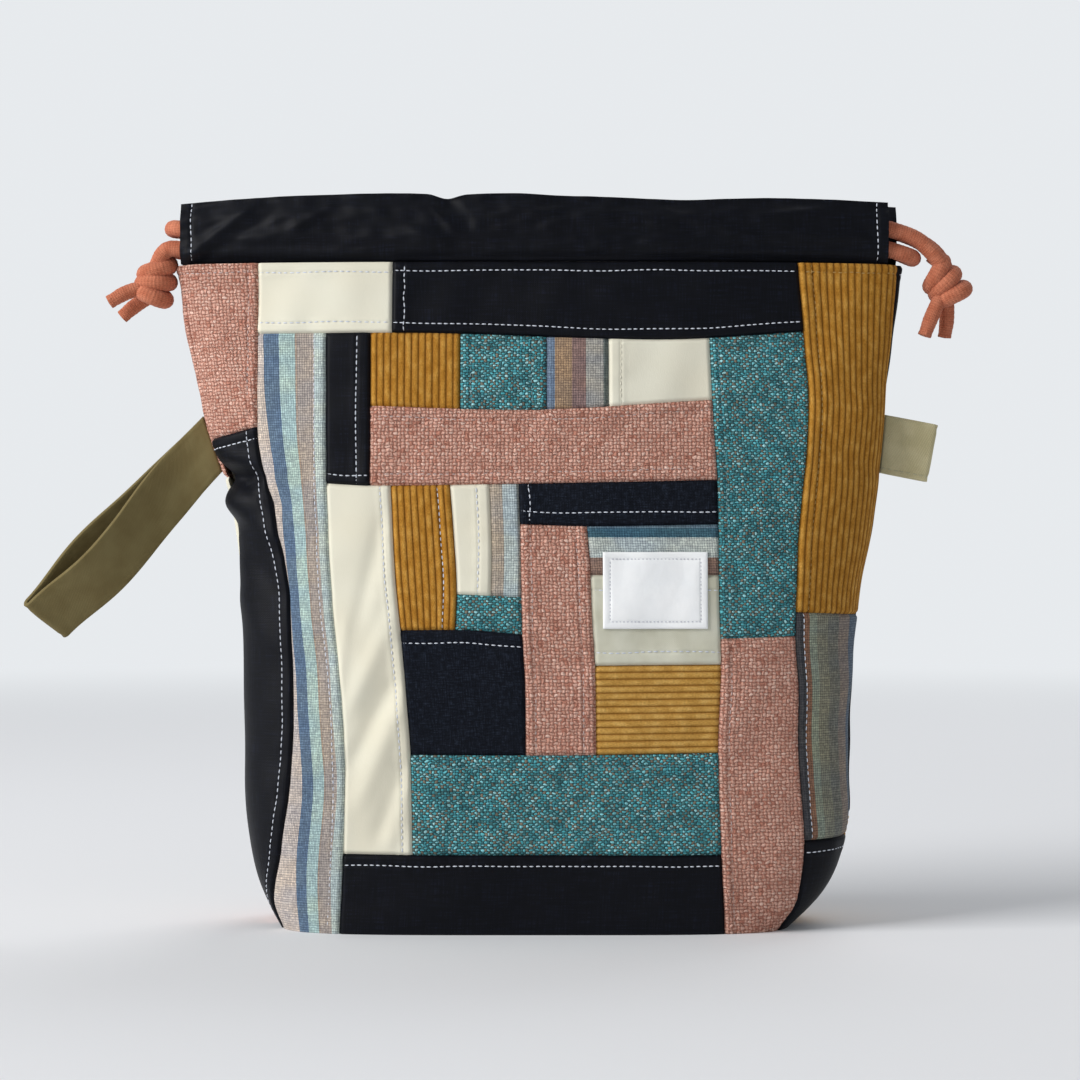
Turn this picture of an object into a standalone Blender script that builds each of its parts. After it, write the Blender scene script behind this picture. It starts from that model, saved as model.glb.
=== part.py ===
"""Patchwork drawstring project bag: boxed base, lined body, two casings, two drawcords.

Metres, +Z up, front faces -Y, origin on the floor at the middle of the base.
The cloth is one skin whose level cuts run from a rounded box at the base to a slim
lens at the mouth. Every patch, the lining and the label are layers of that skin, cut
along the seam plan below.
"""
import math
from functools import lru_cache

import bmesh
import bpy
import numpy as np
from mathutils import Vector

for old in list(bpy.data.objects):
    bpy.data.objects.remove(old, do_unlink=True)

MM = 0.001

# Cloth and clearances
CLOTH = 1.3 * MM            # patch with its backing
LINING_CLOTH = 0.8 * MM
CASING_CLOTH = 0.8 * MM
TAPE = 1.8 * MM             # folded and stitched twill tape
LABEL_CLOTH = 0.5 * MM
GAP = 0.3 * MM              # between pieces that touch
BASE_GAP = 0.7 * MM         # the base panel's edge lies in the fold of the walls
LINING_GAP = 0.6 * MM
LINING_SLACK = 1.0 * MM     # the lining is cut a little smaller at the side seams

# Body
BODY_TOP = 258.5 * MM       # height of the patchwork's top edge
EDGE_RADIUS = 5.0 * MM      # the skin never bends tighter than this
SEAM_FORWARD = 6.0 * MM     # side seams lie this far in front of the widest line
LEFT_TUCK = 13.0 * MM       # boxed corners draw in this far at the floor
RIGHT_TUCK = 24.0 * MM
CORNER_RISE = 60.0 * MM     # and start to draw in at this height

# Casing and drawcords
CASING_HEIGHT = 26.0 * MM
CASING_DROOP = 2.5 * MM     # lower towards its ends
CASING_EDGE = 1.3 * MM      # half thickness at the seam and at the top fold
CASING_BULGE = 4.6 * MM     # half thickness round the cords
CASING_MID_OUT = 18.4 * MM  # from the centre plane to the casing's middle, at mid width
CASING_END_OUT = 5.2 * MM   # the same at its ends
CASING_LEAN = 2.0 * MM      # the top fold leans in at mid width
CASING_HALF = 142.0 * MM
FRONT_CASING_ENDS = (-141.0 * MM, 136.5 * MM)
BACK_CASING_ENDS = (-136.5 * MM, 141.0 * MM)
CORD_DIAMETER = 6.4 * MM
UPPER_CORD = 15.4 * MM      # cord centre above the casing seam
LOWER_CORD = 6.6 * MM

# Wrist strap, side tab and label
TAPE_WIDTH = 23.0 * MM
STRAP_LENGTH = 96.0 * MM
STRAP_LOOP = 1.4 * MM       # gap between its two layers at the folded tip
STRAP_BOW = 5.6 * MM        # each layer bows out this far on the way
STRAP_TILT = 46             # degrees that its near layer looks down
STRAP_HEIGHT = 188.5 * MM   # middle of the strap's root in the left seam
TAB_LENGTH = 19.5 * MM
TAB_HEIGHT = 188.5 * MM
LABEL_LEFT, LABEL_RIGHT = 24.0 * MM, 64.0 * MM
LABEL_BOTTOM, LABEL_TOP = 116.6 * MM, 145.9 * MM

# Facets of the cloth
CELL = 24.0 * MM
CELL_TURN = 25.0            # degrees
ROW = 26.0 * MM
ROW_CLEAR = 2.0 * MM        # no row closer than this to a level seam
TUCK_ROWS = [4.5 * MM, 8.5 * MM, 13 * MM, 19.5 * MM, 39 * MM]        # where the corners draw in
WAIST_ROWS = [143 * MM, 169 * MM, 195 * MM]                         # where the strap draws the side in

# Corduroy
WALE = 2.6 * MM
WALE_DEPTH = 0.5 * MM

FRONT, BACK = -1, 1


def line(*pairs):
    """Smooth line through (position, value) pairs in millimetres that never swings past a pair."""
    pairs = sorted(pairs)
    pos = [a * MM for a, _ in pairs]
    val = [b * MM for _, b in pairs]
    if len(pairs) == 1:
        return lambda t: val[0]
    rise = [(val[i + 1] - val[i]) / (pos[i + 1] - pos[i]) for i in range(len(pos) - 1)]
    slope = [rise[0]]
    for before, after in zip(rise, rise[1:]):
        slope.append(0.0 if before * after <= 0 else 2 * before * after / (before + after))
    slope.append(rise[-1])

    def at(t):
        t = min(max(t, pos[0]), pos[-1])
        i = min(max(int(np.searchsorted(pos, t)) - 1, 0), len(rise) - 1)
        h = pos[i + 1] - pos[i]
        u = (t - pos[i]) / h
        return (val[i] * (1 + 2 * u) * (1 - u) ** 2 + slope[i] * h * u * (1 - u) ** 2
                + val[i + 1] * u * u * (3 - 2 * u) + slope[i + 1] * h * u * u * (u - 1))
    return at


# Skin of the body: half widths left and right and half depth, against height
half_left = line((0, 114), (60, 115), (130, 117.8), (165, 121.5), (195, 131.5), (225, 138), (258, 143.4))
half_right = line((0, 121), (64, 121.5), (122, 125), (166, 132.5), (206, 136.5), (258, 143))
half_depth = line((0, 42), (60, 42.5), (120, 41), (170, 36), (214, 29), (258, 21))
# Corners per thousand: 2000 is a lens, more is boxier
corner_power = line((0, 4500), (40, 3600), (100, 3000), (180, 2600), (258, 2300))

# Seam plan of the front. Upright seams pair (height, x), level seams pair (x, height).
left_spine = line((0, -98), (12, -101.8), (32, -98.6), (60, -95.3), (85, -94.2), (127, -96),
                  (158, -102), (178, -107.5), (194, -110), (258, -110))
corner_hem = line((-143, 188), (-127, 190.5), (-110, 194.5))
cream_top_end = line((230, -57.3))
right_outer = line((0, 92), (12, 99), (34, 101.5), (71, 99.3), (93, 99.6), (113, 98.2), (142, 99),
                   (164, 100.8), (183, 103), (205, 104.3), (221, 103.3), (258, 100.5))
top_row_hem = line((-110, 230.7), (-57, 230.7), (46, 228), (103, 231.5))
stripe_right = line((0, -76.9), (30, -75.6), (60, -74.9), (90, -76), (127, -79.8), (172, -82.3),
                    (231, -83))
upper_strip_end = line((172, -65.4), (231, -65.6))
upper_block_a = line((200, -30.8))
upper_block_b = line((200, 2.5))
upper_block_c = line((200, 26.5))
right_spine = line((0, 70.8), (30, 69.3), (69, 68.2), (102, 69.3), (127, 68.6), (170, 68.3),
                   (202, 66.7), (231, 65.5))
band_top = line((-66, 202.2), (-8, 200.6), (67, 204.6))
band_hem = line((-83, 172.3), (-65, 171.4), (0, 172.2), (69, 173.6))
left_strip_right = line((30, -48.6), (69, -49.5), (98, -51.7), (116, -53.4), (137, -55.6), (172, -57.6))
centre_a_right = line((115, -32.4), (130, -31.8), (153, -33.1), (172, -34.6))
centre_b_right = line((129, -18.8), (144, -18.5), (172, -19.4))
centre_c_right = line((115, -6.8), (130, -7.1), (157, -7.7), (172, -8.2))
teal_block_top = line((-32, 129.8), (-7, 128.6))
black_block_top = line((-53, 116), (-30, 116.2), (-6.8, 114.5))
pink_strip_left = line((69, -5.4), (93, -5.6), (115, -6.8), (130, -7.1), (157, -7.7))
pink_strip_right = line((69, 21.4), (102, 21), (121, 19.8), (139, 19.2), (156, 17.9))
centre_band_hem = line((-8, 156.6), (18, 155.8), (69, 156.5))
label_band_hem = line((19, 137.1))
khaki_hem = line((20, 102.6), (69, 102.9))
lower_band_top = line((-50, 68.6), (-5, 68.4), (69, 69.1))
bottom_band_top = line((-76, 30.5), (69, 30.3))
right_strip_break = line((68, 112.7), (99, 113.6))
right_panel_hem = line((98, 122.8), (125, 121.5))
right_corner_top = line((101, 35.2), (120, 35.8))

# Seam plan of the back, which is plainer
back_left_inner = line((0, -76), (258, -82))
back_right_inner = line((0, 80), (258, 86))
back_left_low = line((-120, 46), (-76, 48))
back_left_high = line((-135, 176), (-80, 172))
back_right_low = line((80, 44), (120, 43))
back_top_hem = line((-82, 226), (86, 228))
back_middle = line((44, -22), (226, -18))
back_pink_top = line((-20, 150), (84, 152))
back_pink_hem = line((-78, 94), (84, 97))
back_bottom_top = line((-78, 44), (82, 44))

top_edge = line((0, BODY_TOP / MM))
floor_edge = line((0, 0))
SIDE = "side seam"


@lru_cache(maxsize=None)
def half_section(height):
    """Level cut of one half, left widest line to right: x, depth, outward normal, arc length."""
    shrink = max(0.0, 1 - height / CORNER_RISE) ** 3
    left = half_left(height) - LEFT_TUCK * shrink - EDGE_RADIUS
    right = half_right(height) - RIGHT_TUCK * shrink - EDGE_RADIUS
    deep = half_depth(height) - EDGE_RADIUS
    power = corner_power(height) / MM / 1000
    turn = np.linspace(0, math.pi, 481)
    c, s = -np.cos(turn), np.abs(np.sin(turn))
    wide = np.where(c < 0, left, right)
    x = wide * np.sign(c) * np.abs(c) ** (2 / power)
    y = deep * s ** (2 / power)
    nx = np.sign(c) * (np.abs(x) / wide) ** (power - 1) / wide
    ny = (y / deep) ** (power - 1) / deep
    size = np.hypot(nx, ny)
    nx, ny = nx / size, ny / size
    x, y = x + EDGE_RADIUS * nx, y + EDGE_RADIUS * ny
    arc = np.concatenate(([0], np.cumsum(np.hypot(np.diff(x), np.diff(y)))))
    return x, y, nx, ny, arc


def half_length(height):
    return half_section(height)[4][-1]


def skin(side, arc, height, inset=0.0):
    """Point of the skin; arc runs along one half from the left, and past its ends round the side."""
    x, y, nx, ny, run = half_section(round(height, 6))
    if arc < 0:
        arc, side = -arc, -side
    elif arc > run[-1]:
        arc, side = 2 * run[-1] - arc, -side
    px, py, ax, ay = (float(np.interp(arc, run, v)) for v in (x, y, nx, ny))
    size = math.hypot(ax, ay)
    return Vector((px - inset * ax / size, side * (py - inset * ay / size), height))


def arc_at(seam, side, height, right):
    """Arc length at which an upright seam crosses this height."""
    x, y, nx, ny, run = half_section(round(height, 6))
    if seam is SIDE:
        step = SEAM_FORWARD if side == FRONT else -SEAM_FORWARD
        return run[-1] - step if right else step
    return float(np.interp(seam(height), x, run))


def stations(side, height, start, end, count=None):
    """Shares of an arc, closer together where the skin turns: one per CELL or per CELL_TURN."""
    points = [start + (end - start) * t for t in np.linspace(0, 1, 81)]
    normals = [skin(side, p, height) - skin(side, p, height, MM) for p in points]
    run = [0.0]
    for i in range(80):
        turn = math.degrees(normals[i].angle(normals[i + 1]))
        run.append(run[-1] + (end - start) / 80 / CELL + turn / CELL_TURN)
    count = count or max(1, math.ceil(run[-1]))
    return [float(np.interp(run[-1] * i / count, run, np.linspace(0, 1, 81))) for i in range(count + 1)]


def cloth(name, colour, roughness=0.85):
    mat = bpy.data.materials.new(name)
    mat.use_nodes = True
    shader = mat.node_tree.nodes["Principled BSDF"]
    shader.inputs["Base Color"].default_value = (*colour, 1)
    shader.inputs["Roughness"].default_value = roughness
    shader.inputs["Metallic"].default_value = 0.0
    mat.diffuse_color = (*colour, 1)
    return mat


COLOURS = {
    "black cotton": (0.010, 0.013, 0.018),
    "pink tweed": (0.45, 0.21, 0.155),
    "cream cotton": (0.74, 0.71, 0.58),
    "mustard corduroy": (0.36, 0.17, 0.02),
    "teal tweed": (0.055, 0.22, 0.25),
    "stripe cotton": (0.30, 0.33, 0.33),
    "khaki canvas": (0.55, 0.52, 0.38),
    "lining cotton": (0.58, 0.54, 0.44),
    "olive twill": (0.26, 0.24, 0.14),
    "terracotta cord": (0.50, 0.17, 0.09),
    "white tape": (0.84, 0.84, 0.86),
}


def finish(name, bm, fabric):
    """One named object from a closed mesh, with its own cloth."""
    bmesh.ops.recalc_face_normals(bm, faces=bm.faces)
    mesh = bpy.data.meshes.new(name)
    bm.to_mesh(mesh)
    bm.free()
    mesh.shade_smooth()
    mesh.set_sharp_from_angle(angle=math.radians(40))
    obj = bpy.data.objects.new(name, mesh)
    bpy.context.scene.collection.objects.link(obj)
    mesh.materials.append(cloth(name + "_" + fabric.replace(" ", "_"), COLOURS[fabric]))
    return obj


def sheet(bm, rows, flip=False):
    """Quads over a grid of points; returns the grid of vertices."""
    grid = [[bm.verts.new(p) for p in row] for row in rows]
    for low, high in zip(grid, grid[1:]):
        for i in range(len(low) - 1):
            quad = (low[i], low[i + 1], high[i + 1], high[i])
            bm.faces.new(quad[::-1] if flip else quad)
    return grid


def border(grid):
    """The four edges of a grid as vertex runs: bottom, right, top, left."""
    return grid[0], [row[-1] for row in grid], grid[-1], [row[0] for row in grid]


def zip_edge(bm, a, b):
    """Close the rim between two vertex runs that may have different counts."""
    i = j = 0
    while i < len(a) - 1 or j < len(b) - 1:
        ahead = (i + 1) / max(len(a) - 1, 1) <= (j + 1) / max(len(b) - 1, 1)
        if j == len(b) - 1 or (i < len(a) - 1 and ahead):
            bm.faces.new((a[i], a[i + 1], b[j]))
            i += 1
        else:
            bm.faces.new((a[i], b[j + 1], b[j]))
            j += 1


def even(count):
    return [i / count for i in range(count + 1)]


def wale_steps(length):
    """Shares across a corduroy piece and their depths: a groove, then the crest of a wale."""
    count = max(2, round(length / WALE))
    steps, depths = [], []
    for i in range(count):
        steps += [i / count, (i + 0.5) / count]
        depths += [WALE_DEPTH, 0.0]
    return steps + [1.0], depths + [WALE_DEPTH]


def patch(name, side, left, right, bottom, top, fabric, wales=""):
    """A piece of cloth between four seams, with half a gap left along each of them."""
    def span(height):
        """Arc lengths between which the piece lies at this height."""
        return (arc_at(left, side, height, False) + GAP / 2,
                arc_at(right, side, height, True) - GAP / 2)

    def at_height(u, height, inset):
        start, end = span(height)
        return skin(side, start + (end - start) * u, height, inset)

    def at_share(u, share, inset):
        """The same for a share of the piece's height, which changes along its level seams."""
        height = 0.5 * (bottom(0.0) + top(0.0))
        for _ in range(6):
            x = at_height(u, height, 0).x
            low = bottom(x) + (GAP / 2 if bottom is not floor_edge else 0)
            high = top(x) - (GAP / 2 if top is not top_edge else 0)
            height = low + (high - low) * share
        return at_height(u, height, inset)

    middle = at_share(0.5, 0.5, 0)
    ends = at_share(0, 0.5, 0), at_share(1, 0.5, 0)
    width = sum((end - middle).length for end in ends)
    tall = (at_share(0.5, 1, 0) - at_share(0.5, 0, 0)).length
    edge = max(abs(end.x) for end in ends)
    level = middle.z
    across = stations(side, level, arc_at(left, side, level, False), arc_at(right, side, level, True))
    # Rows at heights that neighbours share, so that their edges stay parallel
    lowest = max(at_share(u, 0, 0).z for u in (0, 0.5, 1)) + ROW_CLEAR
    highest = min(at_share(u, 1, 0).z for u in (0, 0.5, 1)) - ROW_CLEAR
    rows = [ROW * n for n in range(1, 10)]
    if edge > 75 * MM:
        rows += TUCK_ROWS
    if middle.x < -75 * MM:
        rows += WAIST_ROWS
    between = sorted(h for h in rows if lowest < h < highest)
    fine_across, across_depth = across, [0.0] * len(across)
    if wales == "upright":
        fine_across, across_depth = wale_steps(width)

    def upright_rows(steps, depths, inset):
        """The grid's rows: bottom seam, the shared heights, top seam."""
        def row(place, level):
            return [place(u, level, inset + depth) for u, depth in zip(steps, depths)]
        return [row(at_share, 0.0)] + [row(at_height, h) for h in between] + [row(at_share, 1.0)]

    bm = bmesh.new()
    if wales == "level":
        outer = sheet(bm, [[at_share(u, v, depth) for u in across] for v, depth in zip(*wale_steps(tall))])
    else:
        outer = sheet(bm, upright_rows(fine_across, across_depth, 0.0))
    inner = sheet(bm, upright_rows(across, [0.0] * len(across), CLOTH), flip=True)
    for a, b in zip(border(outer), border(inner)):
        zip_edge(bm, a, b)
    return finish(name, bm, fabric)


FRONT_PATCHES = (
    ("front_pink_corner", SIDE, left_spine, corner_hem, top_edge, "pink tweed", ""),
    ("front_cream_top_block", left_spine, cream_top_end, top_row_hem, top_edge, "cream cotton", ""),
    ("front_black_top_band", cream_top_end, right_outer, top_row_hem, top_edge, "black cotton", ""),
    ("front_mustard_right_panel", right_outer, SIDE, right_panel_hem, top_edge,
     "mustard corduroy", "upright"),
    ("front_black_left_panel", SIDE, left_spine, floor_edge, corner_hem, "black cotton", ""),
    ("front_stripe_left_strip", left_spine, stripe_right, floor_edge, top_row_hem,
     "stripe cotton", ""),
    ("front_black_upper_strip", stripe_right, upper_strip_end, band_hem, top_row_hem,
     "black cotton", ""),
    ("front_mustard_upper_block", upper_strip_end, upper_block_a, band_top, top_row_hem,
     "mustard corduroy", "upright"),
    ("front_teal_upper_block", upper_block_a, upper_block_b, band_top, top_row_hem, "teal tweed", ""),
    ("front_stripe_upper_block", upper_block_b, upper_block_c, band_top, top_row_hem,
     "stripe cotton", ""),
    ("front_cream_upper_block", upper_block_c, right_spine, band_top, top_row_hem,
     "cream cotton", ""),
    ("front_pink_cross_band", upper_strip_end, right_spine, band_hem, band_top, "pink tweed", ""),
    ("front_cream_left_strip", stripe_right, left_strip_right, bottom_band_top, band_hem,
     "cream cotton", ""),
    ("front_mustard_centre_strip", left_strip_right, centre_a_right, black_block_top, band_hem,
     "mustard corduroy", "upright"),
    ("front_cream_centre_strip", centre_a_right, centre_b_right, teal_block_top, band_hem,
     "cream cotton", ""),
    ("front_stripe_centre_strip", centre_b_right, centre_c_right, teal_block_top, band_hem,
     "stripe cotton", ""),
    ("front_teal_small_block", centre_a_right, centre_c_right, black_block_top, teal_block_top,
     "teal tweed", ""),
    ("front_black_centre_block", left_strip_right, pink_strip_left, lower_band_top,
     black_block_top, "black cotton", ""),
    ("front_black_centre_band", centre_c_right, right_spine, centre_band_hem, band_hem,
     "black cotton", ""),
    ("front_pink_centre_strip", pink_strip_left, pink_strip_right, lower_band_top,
     centre_band_hem, "pink tweed", ""),
    ("front_stripe_label_band", pink_strip_right, right_spine, label_band_hem, centre_band_hem,
     "stripe cotton", ""),
    ("front_khaki_label_block", pink_strip_right, right_spine, khaki_hem, label_band_hem,
     "khaki canvas", ""),
    ("front_mustard_lower_block", pink_strip_right, right_spine, lower_band_top, khaki_hem,
     "mustard corduroy", "level"),
    ("front_teal_lower_band", left_strip_right, right_spine, bottom_band_top, lower_band_top,
     "teal tweed", ""),
    ("front_teal_right_strip", right_spine, right_outer, right_strip_break, top_row_hem,
     "teal tweed", ""),
    ("front_pink_right_strip", right_spine, right_outer, floor_edge, right_strip_break,
     "pink tweed", ""),
    ("front_black_bottom_band", stripe_right, right_spine, floor_edge, bottom_band_top,
     "black cotton", ""),
    ("front_stripe_right_panel", right_outer, SIDE, right_corner_top, right_panel_hem,
     "stripe cotton", ""),
    ("front_black_right_corner", right_outer, SIDE, floor_edge, right_corner_top,
     "black cotton", ""),
)

BACK_PATCHES = (
    ("back_pink_left_panel", SIDE, back_left_inner, back_left_high, top_edge, "pink tweed", ""),
    ("back_cream_left_panel", SIDE, back_left_inner, back_left_low, back_left_high,
     "cream cotton", ""),
    ("back_pink_left_corner", SIDE, back_left_inner, floor_edge, back_left_low, "pink tweed", ""),
    ("back_black_right_panel", back_right_inner, SIDE, back_right_low, top_edge, "black cotton", ""),
    ("back_mustard_right_corner", back_right_inner, SIDE, floor_edge, back_right_low,
     "mustard corduroy", "level"),
    ("back_black_top_band", back_left_inner, back_right_inner, back_top_hem, top_edge,
     "black cotton", ""),
    ("back_stripe_panel", back_left_inner, back_middle, back_pink_hem, back_top_hem,
     "stripe cotton", ""),
    ("back_cream_panel", back_middle, back_right_inner, back_pink_top, back_top_hem,
     "cream cotton", ""),
    ("back_pink_band", back_middle, back_right_inner, back_pink_hem, back_pink_top,
     "pink tweed", ""),
    ("back_teal_band", back_left_inner, back_right_inner, back_bottom_top, back_pink_hem,
     "teal tweed", ""),
    ("back_black_bottom_band", back_left_inner, back_right_inner, floor_edge, back_bottom_top,
     "black cotton", ""),
)

for side, plan in ((FRONT, FRONT_PATCHES), (BACK, BACK_PATCHES)):
    for name, left, right, bottom, top, fabric, wales in plan:
        patch(name, side, left, right, bottom, top, fabric, wales)


def loop_ring(height, inset, count, slack=0.0):
    """Points right round the bag at one height, as a layer this far inside the skin."""
    length = half_length(round(height, 6))
    half = stations(FRONT, height, 0.0, length, count)
    ring = []
    for side, order in ((FRONT, 1), (BACK, -1)):
        for share in half[:-1] if order == 1 else half[:0:-1]:
            plain = skin(side, share * length, height)
            lean = plain - skin(side, share * length, height, MM)
            end = (lean.x / MM) ** 2
            ring.append(skin(side, share * length, height, inset + slack * end))
    return ring


def bag_of_cloth(name, inset, thickness, floor, heights, count, fabric):
    """A one-piece lining: walls inside the patches, a flat floor and an open mouth."""
    bm = bmesh.new()
    shells = []
    for depth, low in ((inset, floor), (inset + thickness, floor + thickness)):
        rows = []
        for height in [low] + [h for h in heights if h > low + MM]:
            rows.append([bm.verts.new(p) for p in loop_ring(height, depth, count, LINING_SLACK)])
        for a, b in zip(rows, rows[1:]):
            for i in range(len(a)):
                k = (i + 1) % len(a)
                bm.faces.new((a[i], a[k], b[k], b[i]))
        # Floor as strips from front to back
        ring = rows[0]
        for i in range(1, count):
            front, behind = ring[i], ring[-i]
            if i == 1:
                bm.faces.new((ring[0], front, behind))
            nxt, nxt_behind = ring[i + 1], ring[-i - 1]
            if i < count - 1:
                bm.faces.new((front, nxt, nxt_behind, behind))
            else:
                bm.faces.new((front, nxt, behind))
        shells.append(rows)
    outer, inner = shells[0][-1], shells[1][-1]
    for i in range(len(outer)):
        k = (i + 1) % len(outer)
        bm.faces.new((outer[i], outer[k], inner[k], inner[i]))
    return finish(name, bm, fabric)


LINING_ROWS = [h * MM for h in (8, 19, 39, 78, 130, 156, 169, 182, 195, 221)] + [BODY_TOP]
bag_of_cloth("lining_bag", CLOTH + LINING_GAP, LINING_CLOTH, CLOTH + LINING_GAP, LINING_ROWS, 15,
             "lining cotton")


def base_panel(name, fabric):
    """Flat cloth base between the lower edges of the walls."""
    ring = loop_ring(0.0, CLOTH + BASE_GAP, 16)
    bm = bmesh.new()
    low = [bm.verts.new(p) for p in ring]
    high = [bm.verts.new(p + Vector((0, 0, CLOTH))) for p in ring]
    count = len(ring) // 2
    for ring_verts in (low, high):
        bm.faces.new((ring_verts[0], ring_verts[1], ring_verts[-1]))
        for i in range(1, count - 1):
            bm.faces.new((ring_verts[i], ring_verts[i + 1], ring_verts[-i - 1], ring_verts[-i]))
        bm.faces.new((ring_verts[count - 1], ring_verts[count], ring_verts[count + 1]))
    for i in range(len(ring)):
        k = (i + 1) % len(ring)
        bm.faces.new((low[i], low[k], high[k], high[i]))
    return finish(name, bm, fabric)


base_panel("base_panel", "black cotton")


def smooth(t):
    t = min(max(t, 0.0), 1.0)
    return t * t * (3 - 2 * t)


def casing_out(x, rise):
    """Distance of the casing's middle from the centre plane."""
    bow = 1 - (x / CASING_HALF) ** 2
    lean = CASING_LEAN * rise / CASING_HEIGHT
    return CASING_END_OUT + (CASING_MID_OUT - CASING_END_OUT - lean) * bow


def casing_half_thickness(rise):
    swell = smooth(rise / (5 * MM)) * smooth((CASING_HEIGHT - rise) / (8 * MM))
    return CASING_EDGE + (CASING_BULGE - CASING_EDGE) * swell


def casing_height(x):
    return 1 - CASING_DROOP / CASING_HEIGHT * abs(x / CASING_HALF) ** 3


def casing(name, side, ends, fabric):
    """Folded strip sewn into the top seam: a flattened tube, open at both ends."""
    outer_rises = [r * MM for r in (0, 2, 4.5, 11, 18, 21)] + [CASING_HEIGHT]
    inner_rises = [r * MM for r in (1.2, 4.5, 11, 18, 21)] + [CASING_HEIGHT - 1.4 * MM]

    def ring(x, rises, wall):
        points = []
        for sign, order in ((1, rises), (-1, rises[::-1])):
            for rise in order:
                out = casing_out(x, rise) + sign * (casing_half_thickness(rise) - wall)
                points.append(Vector((x, side * out, BODY_TOP + GAP + rise * casing_height(x))))
        return points

    bm = bmesh.new()
    stations = [ends[0] + (ends[1] - ends[0]) * (0.5 - 0.5 * math.cos(math.pi * t)) for t in even(12)]
    tubes = []
    for rises, wall in ((outer_rises, 0.0), (inner_rises, CASING_CLOTH)):
        rings = [[bm.verts.new(p) for p in ring(x, rises, wall)] for x in stations]
        for a, b in zip(rings, rings[1:]):
            for i in range(len(a)):
                k = (i + 1) % len(a)
                bm.faces.new((a[i], a[k], b[k], b[i]))
        tubes.append(rings)
    for end in (0, -1):
        outer, inner = tubes[0][end], tubes[1][end]
        zip_edge(bm, outer + [outer[0]], inner + [inner[0]])
    return finish(name, bm, fabric)


casing("front_casing", FRONT, FRONT_CASING_ENDS, "black cotton")
casing("back_casing", BACK, BACK_CASING_ENDS, "black cotton")


def channel(side, ends, rise, count=13):
    """Route points of a cord inside a casing, from its left end to its right end."""
    points = []
    for i in range(count + 1):
        x = ends[0] + (ends[1] - ends[0]) * (0.5 - 0.5 * math.cos(math.pi * i / count))
        points.append(Vector((x, side * casing_out(x, rise), BODY_TOP + GAP + rise * casing_height(x))))
    return points


def rounded(route, spacing, turn_spacing=40.0):
    """Points on a smooth curve through the route, closer together where it turns (degrees)."""
    ends = [route[0] * 2 - route[1], route[-1] * 2 - route[-2]]
    full = [ends[0]] + route + [ends[1]]
    dense = []
    for a, b, c, d in zip(full, full[1:], full[2:], full[3:]):
        for t in even(12)[:-1]:
            dense.append(0.5 * (2 * b + (c - a) * t + (2 * a - 5 * b + 4 * c - d) * t * t
                                + (3 * b - a - 3 * c + d) * t ** 3))
    dense.append(route[-1])
    run = [0.0]
    before = dense[1] - dense[0]
    for a, b in zip(dense, dense[1:]):
        turn = math.degrees(before.angle(b - a))
        before = b - a
        run.append(run[-1] + (b - a).length / spacing + turn / turn_spacing)
    steps = max(3, round(run[-1]))
    marks = [run[-1] * t for t in even(steps)]
    return [Vector([float(np.interp(m, run, [p[k] for p in dense])) for k in range(3)]) for m in marks]


def mm_point(x, y, z):
    return Vector((x * MM, y * MM, z * MM))


def cord(name, points, fabric):
    """Round cord as a swept tube with closed ends."""
    curve = bpy.data.curves.new(name, "CURVE")
    curve.dimensions = "3D"
    curve.bevel_depth = CORD_DIAMETER / 2
    curve.bevel_resolution = 2
    curve.use_fill_caps = True
    spline = curve.splines.new("POLY")
    spline.points.add(len(points) - 1)
    for p, v in zip(spline.points, points):
        p.co = (*v, 1)
    obj = bpy.data.objects.new(name, curve)
    bpy.context.scene.collection.objects.link(obj)
    curve.materials.append(cloth(name + "_" + fabric.replace(" ", "_"), COLOURS[fabric]))
    return obj


front_upper = channel(FRONT, FRONT_CASING_ENDS, UPPER_CORD)
back_upper = channel(BACK, BACK_CASING_ENDS, UPPER_CORD)
front_lower = channel(FRONT, FRONT_CASING_ENDS, LOWER_CORD)
back_lower = channel(BACK, BACK_CASING_ENDS, LOWER_CORD)

# The upper cord turns back at the left side and is knotted at the right
right_knot_route = (
    [mm_point(157.5, -3.9, 261.3), mm_point(156, -4.4, 265.2), mm_point(150.5, -5.2, 271)]
    + front_upper[::-1]
    + [mm_point(-145.4, -4.2, 273.2), mm_point(-147.2, 0, 273), mm_point(-145, 4.6, 273.2)]
    + back_upper
    + [mm_point(149, 5.2, 272.6), mm_point(156.5, 4.4, 267.5), mm_point(159.5, 3.9, 261.3)])
# The lower cord turns back at the right side and is knotted at the left
left_knot_route = (
    [mm_point(-150.2, -3.8, 262.2), mm_point(-147.5, -4.6, 265.0)]
    + front_lower
    + [mm_point(142.5, -6.0, 264.2), mm_point(146, -3.4, 263.4), mm_point(146.6, 0, 263.2),
       mm_point(145.4, 3.4, 263.8)]
    + back_lower[::-1]
    + [mm_point(-143, 6.0, 265), mm_point(-148, 4.9, 265.3), mm_point(-151, 3.8, 262.2)])
cord("drawcord_right_knotted", rounded(right_knot_route, 18 * MM), "terracotta cord")
cord("drawcord_left_knotted", rounded(left_knot_route, 18 * MM), "terracotta cord")


def solid_from(name, build):
    mesh = bpy.data.meshes.new(name)
    bm = bmesh.new()
    build(bm)
    bmesh.ops.recalc_face_normals(bm, faces=bm.faces)
    bm.to_mesh(mesh)
    bm.free()
    obj = bpy.data.objects.new(name, mesh)
    bpy.context.scene.collection.objects.link(obj)
    return obj


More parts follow.
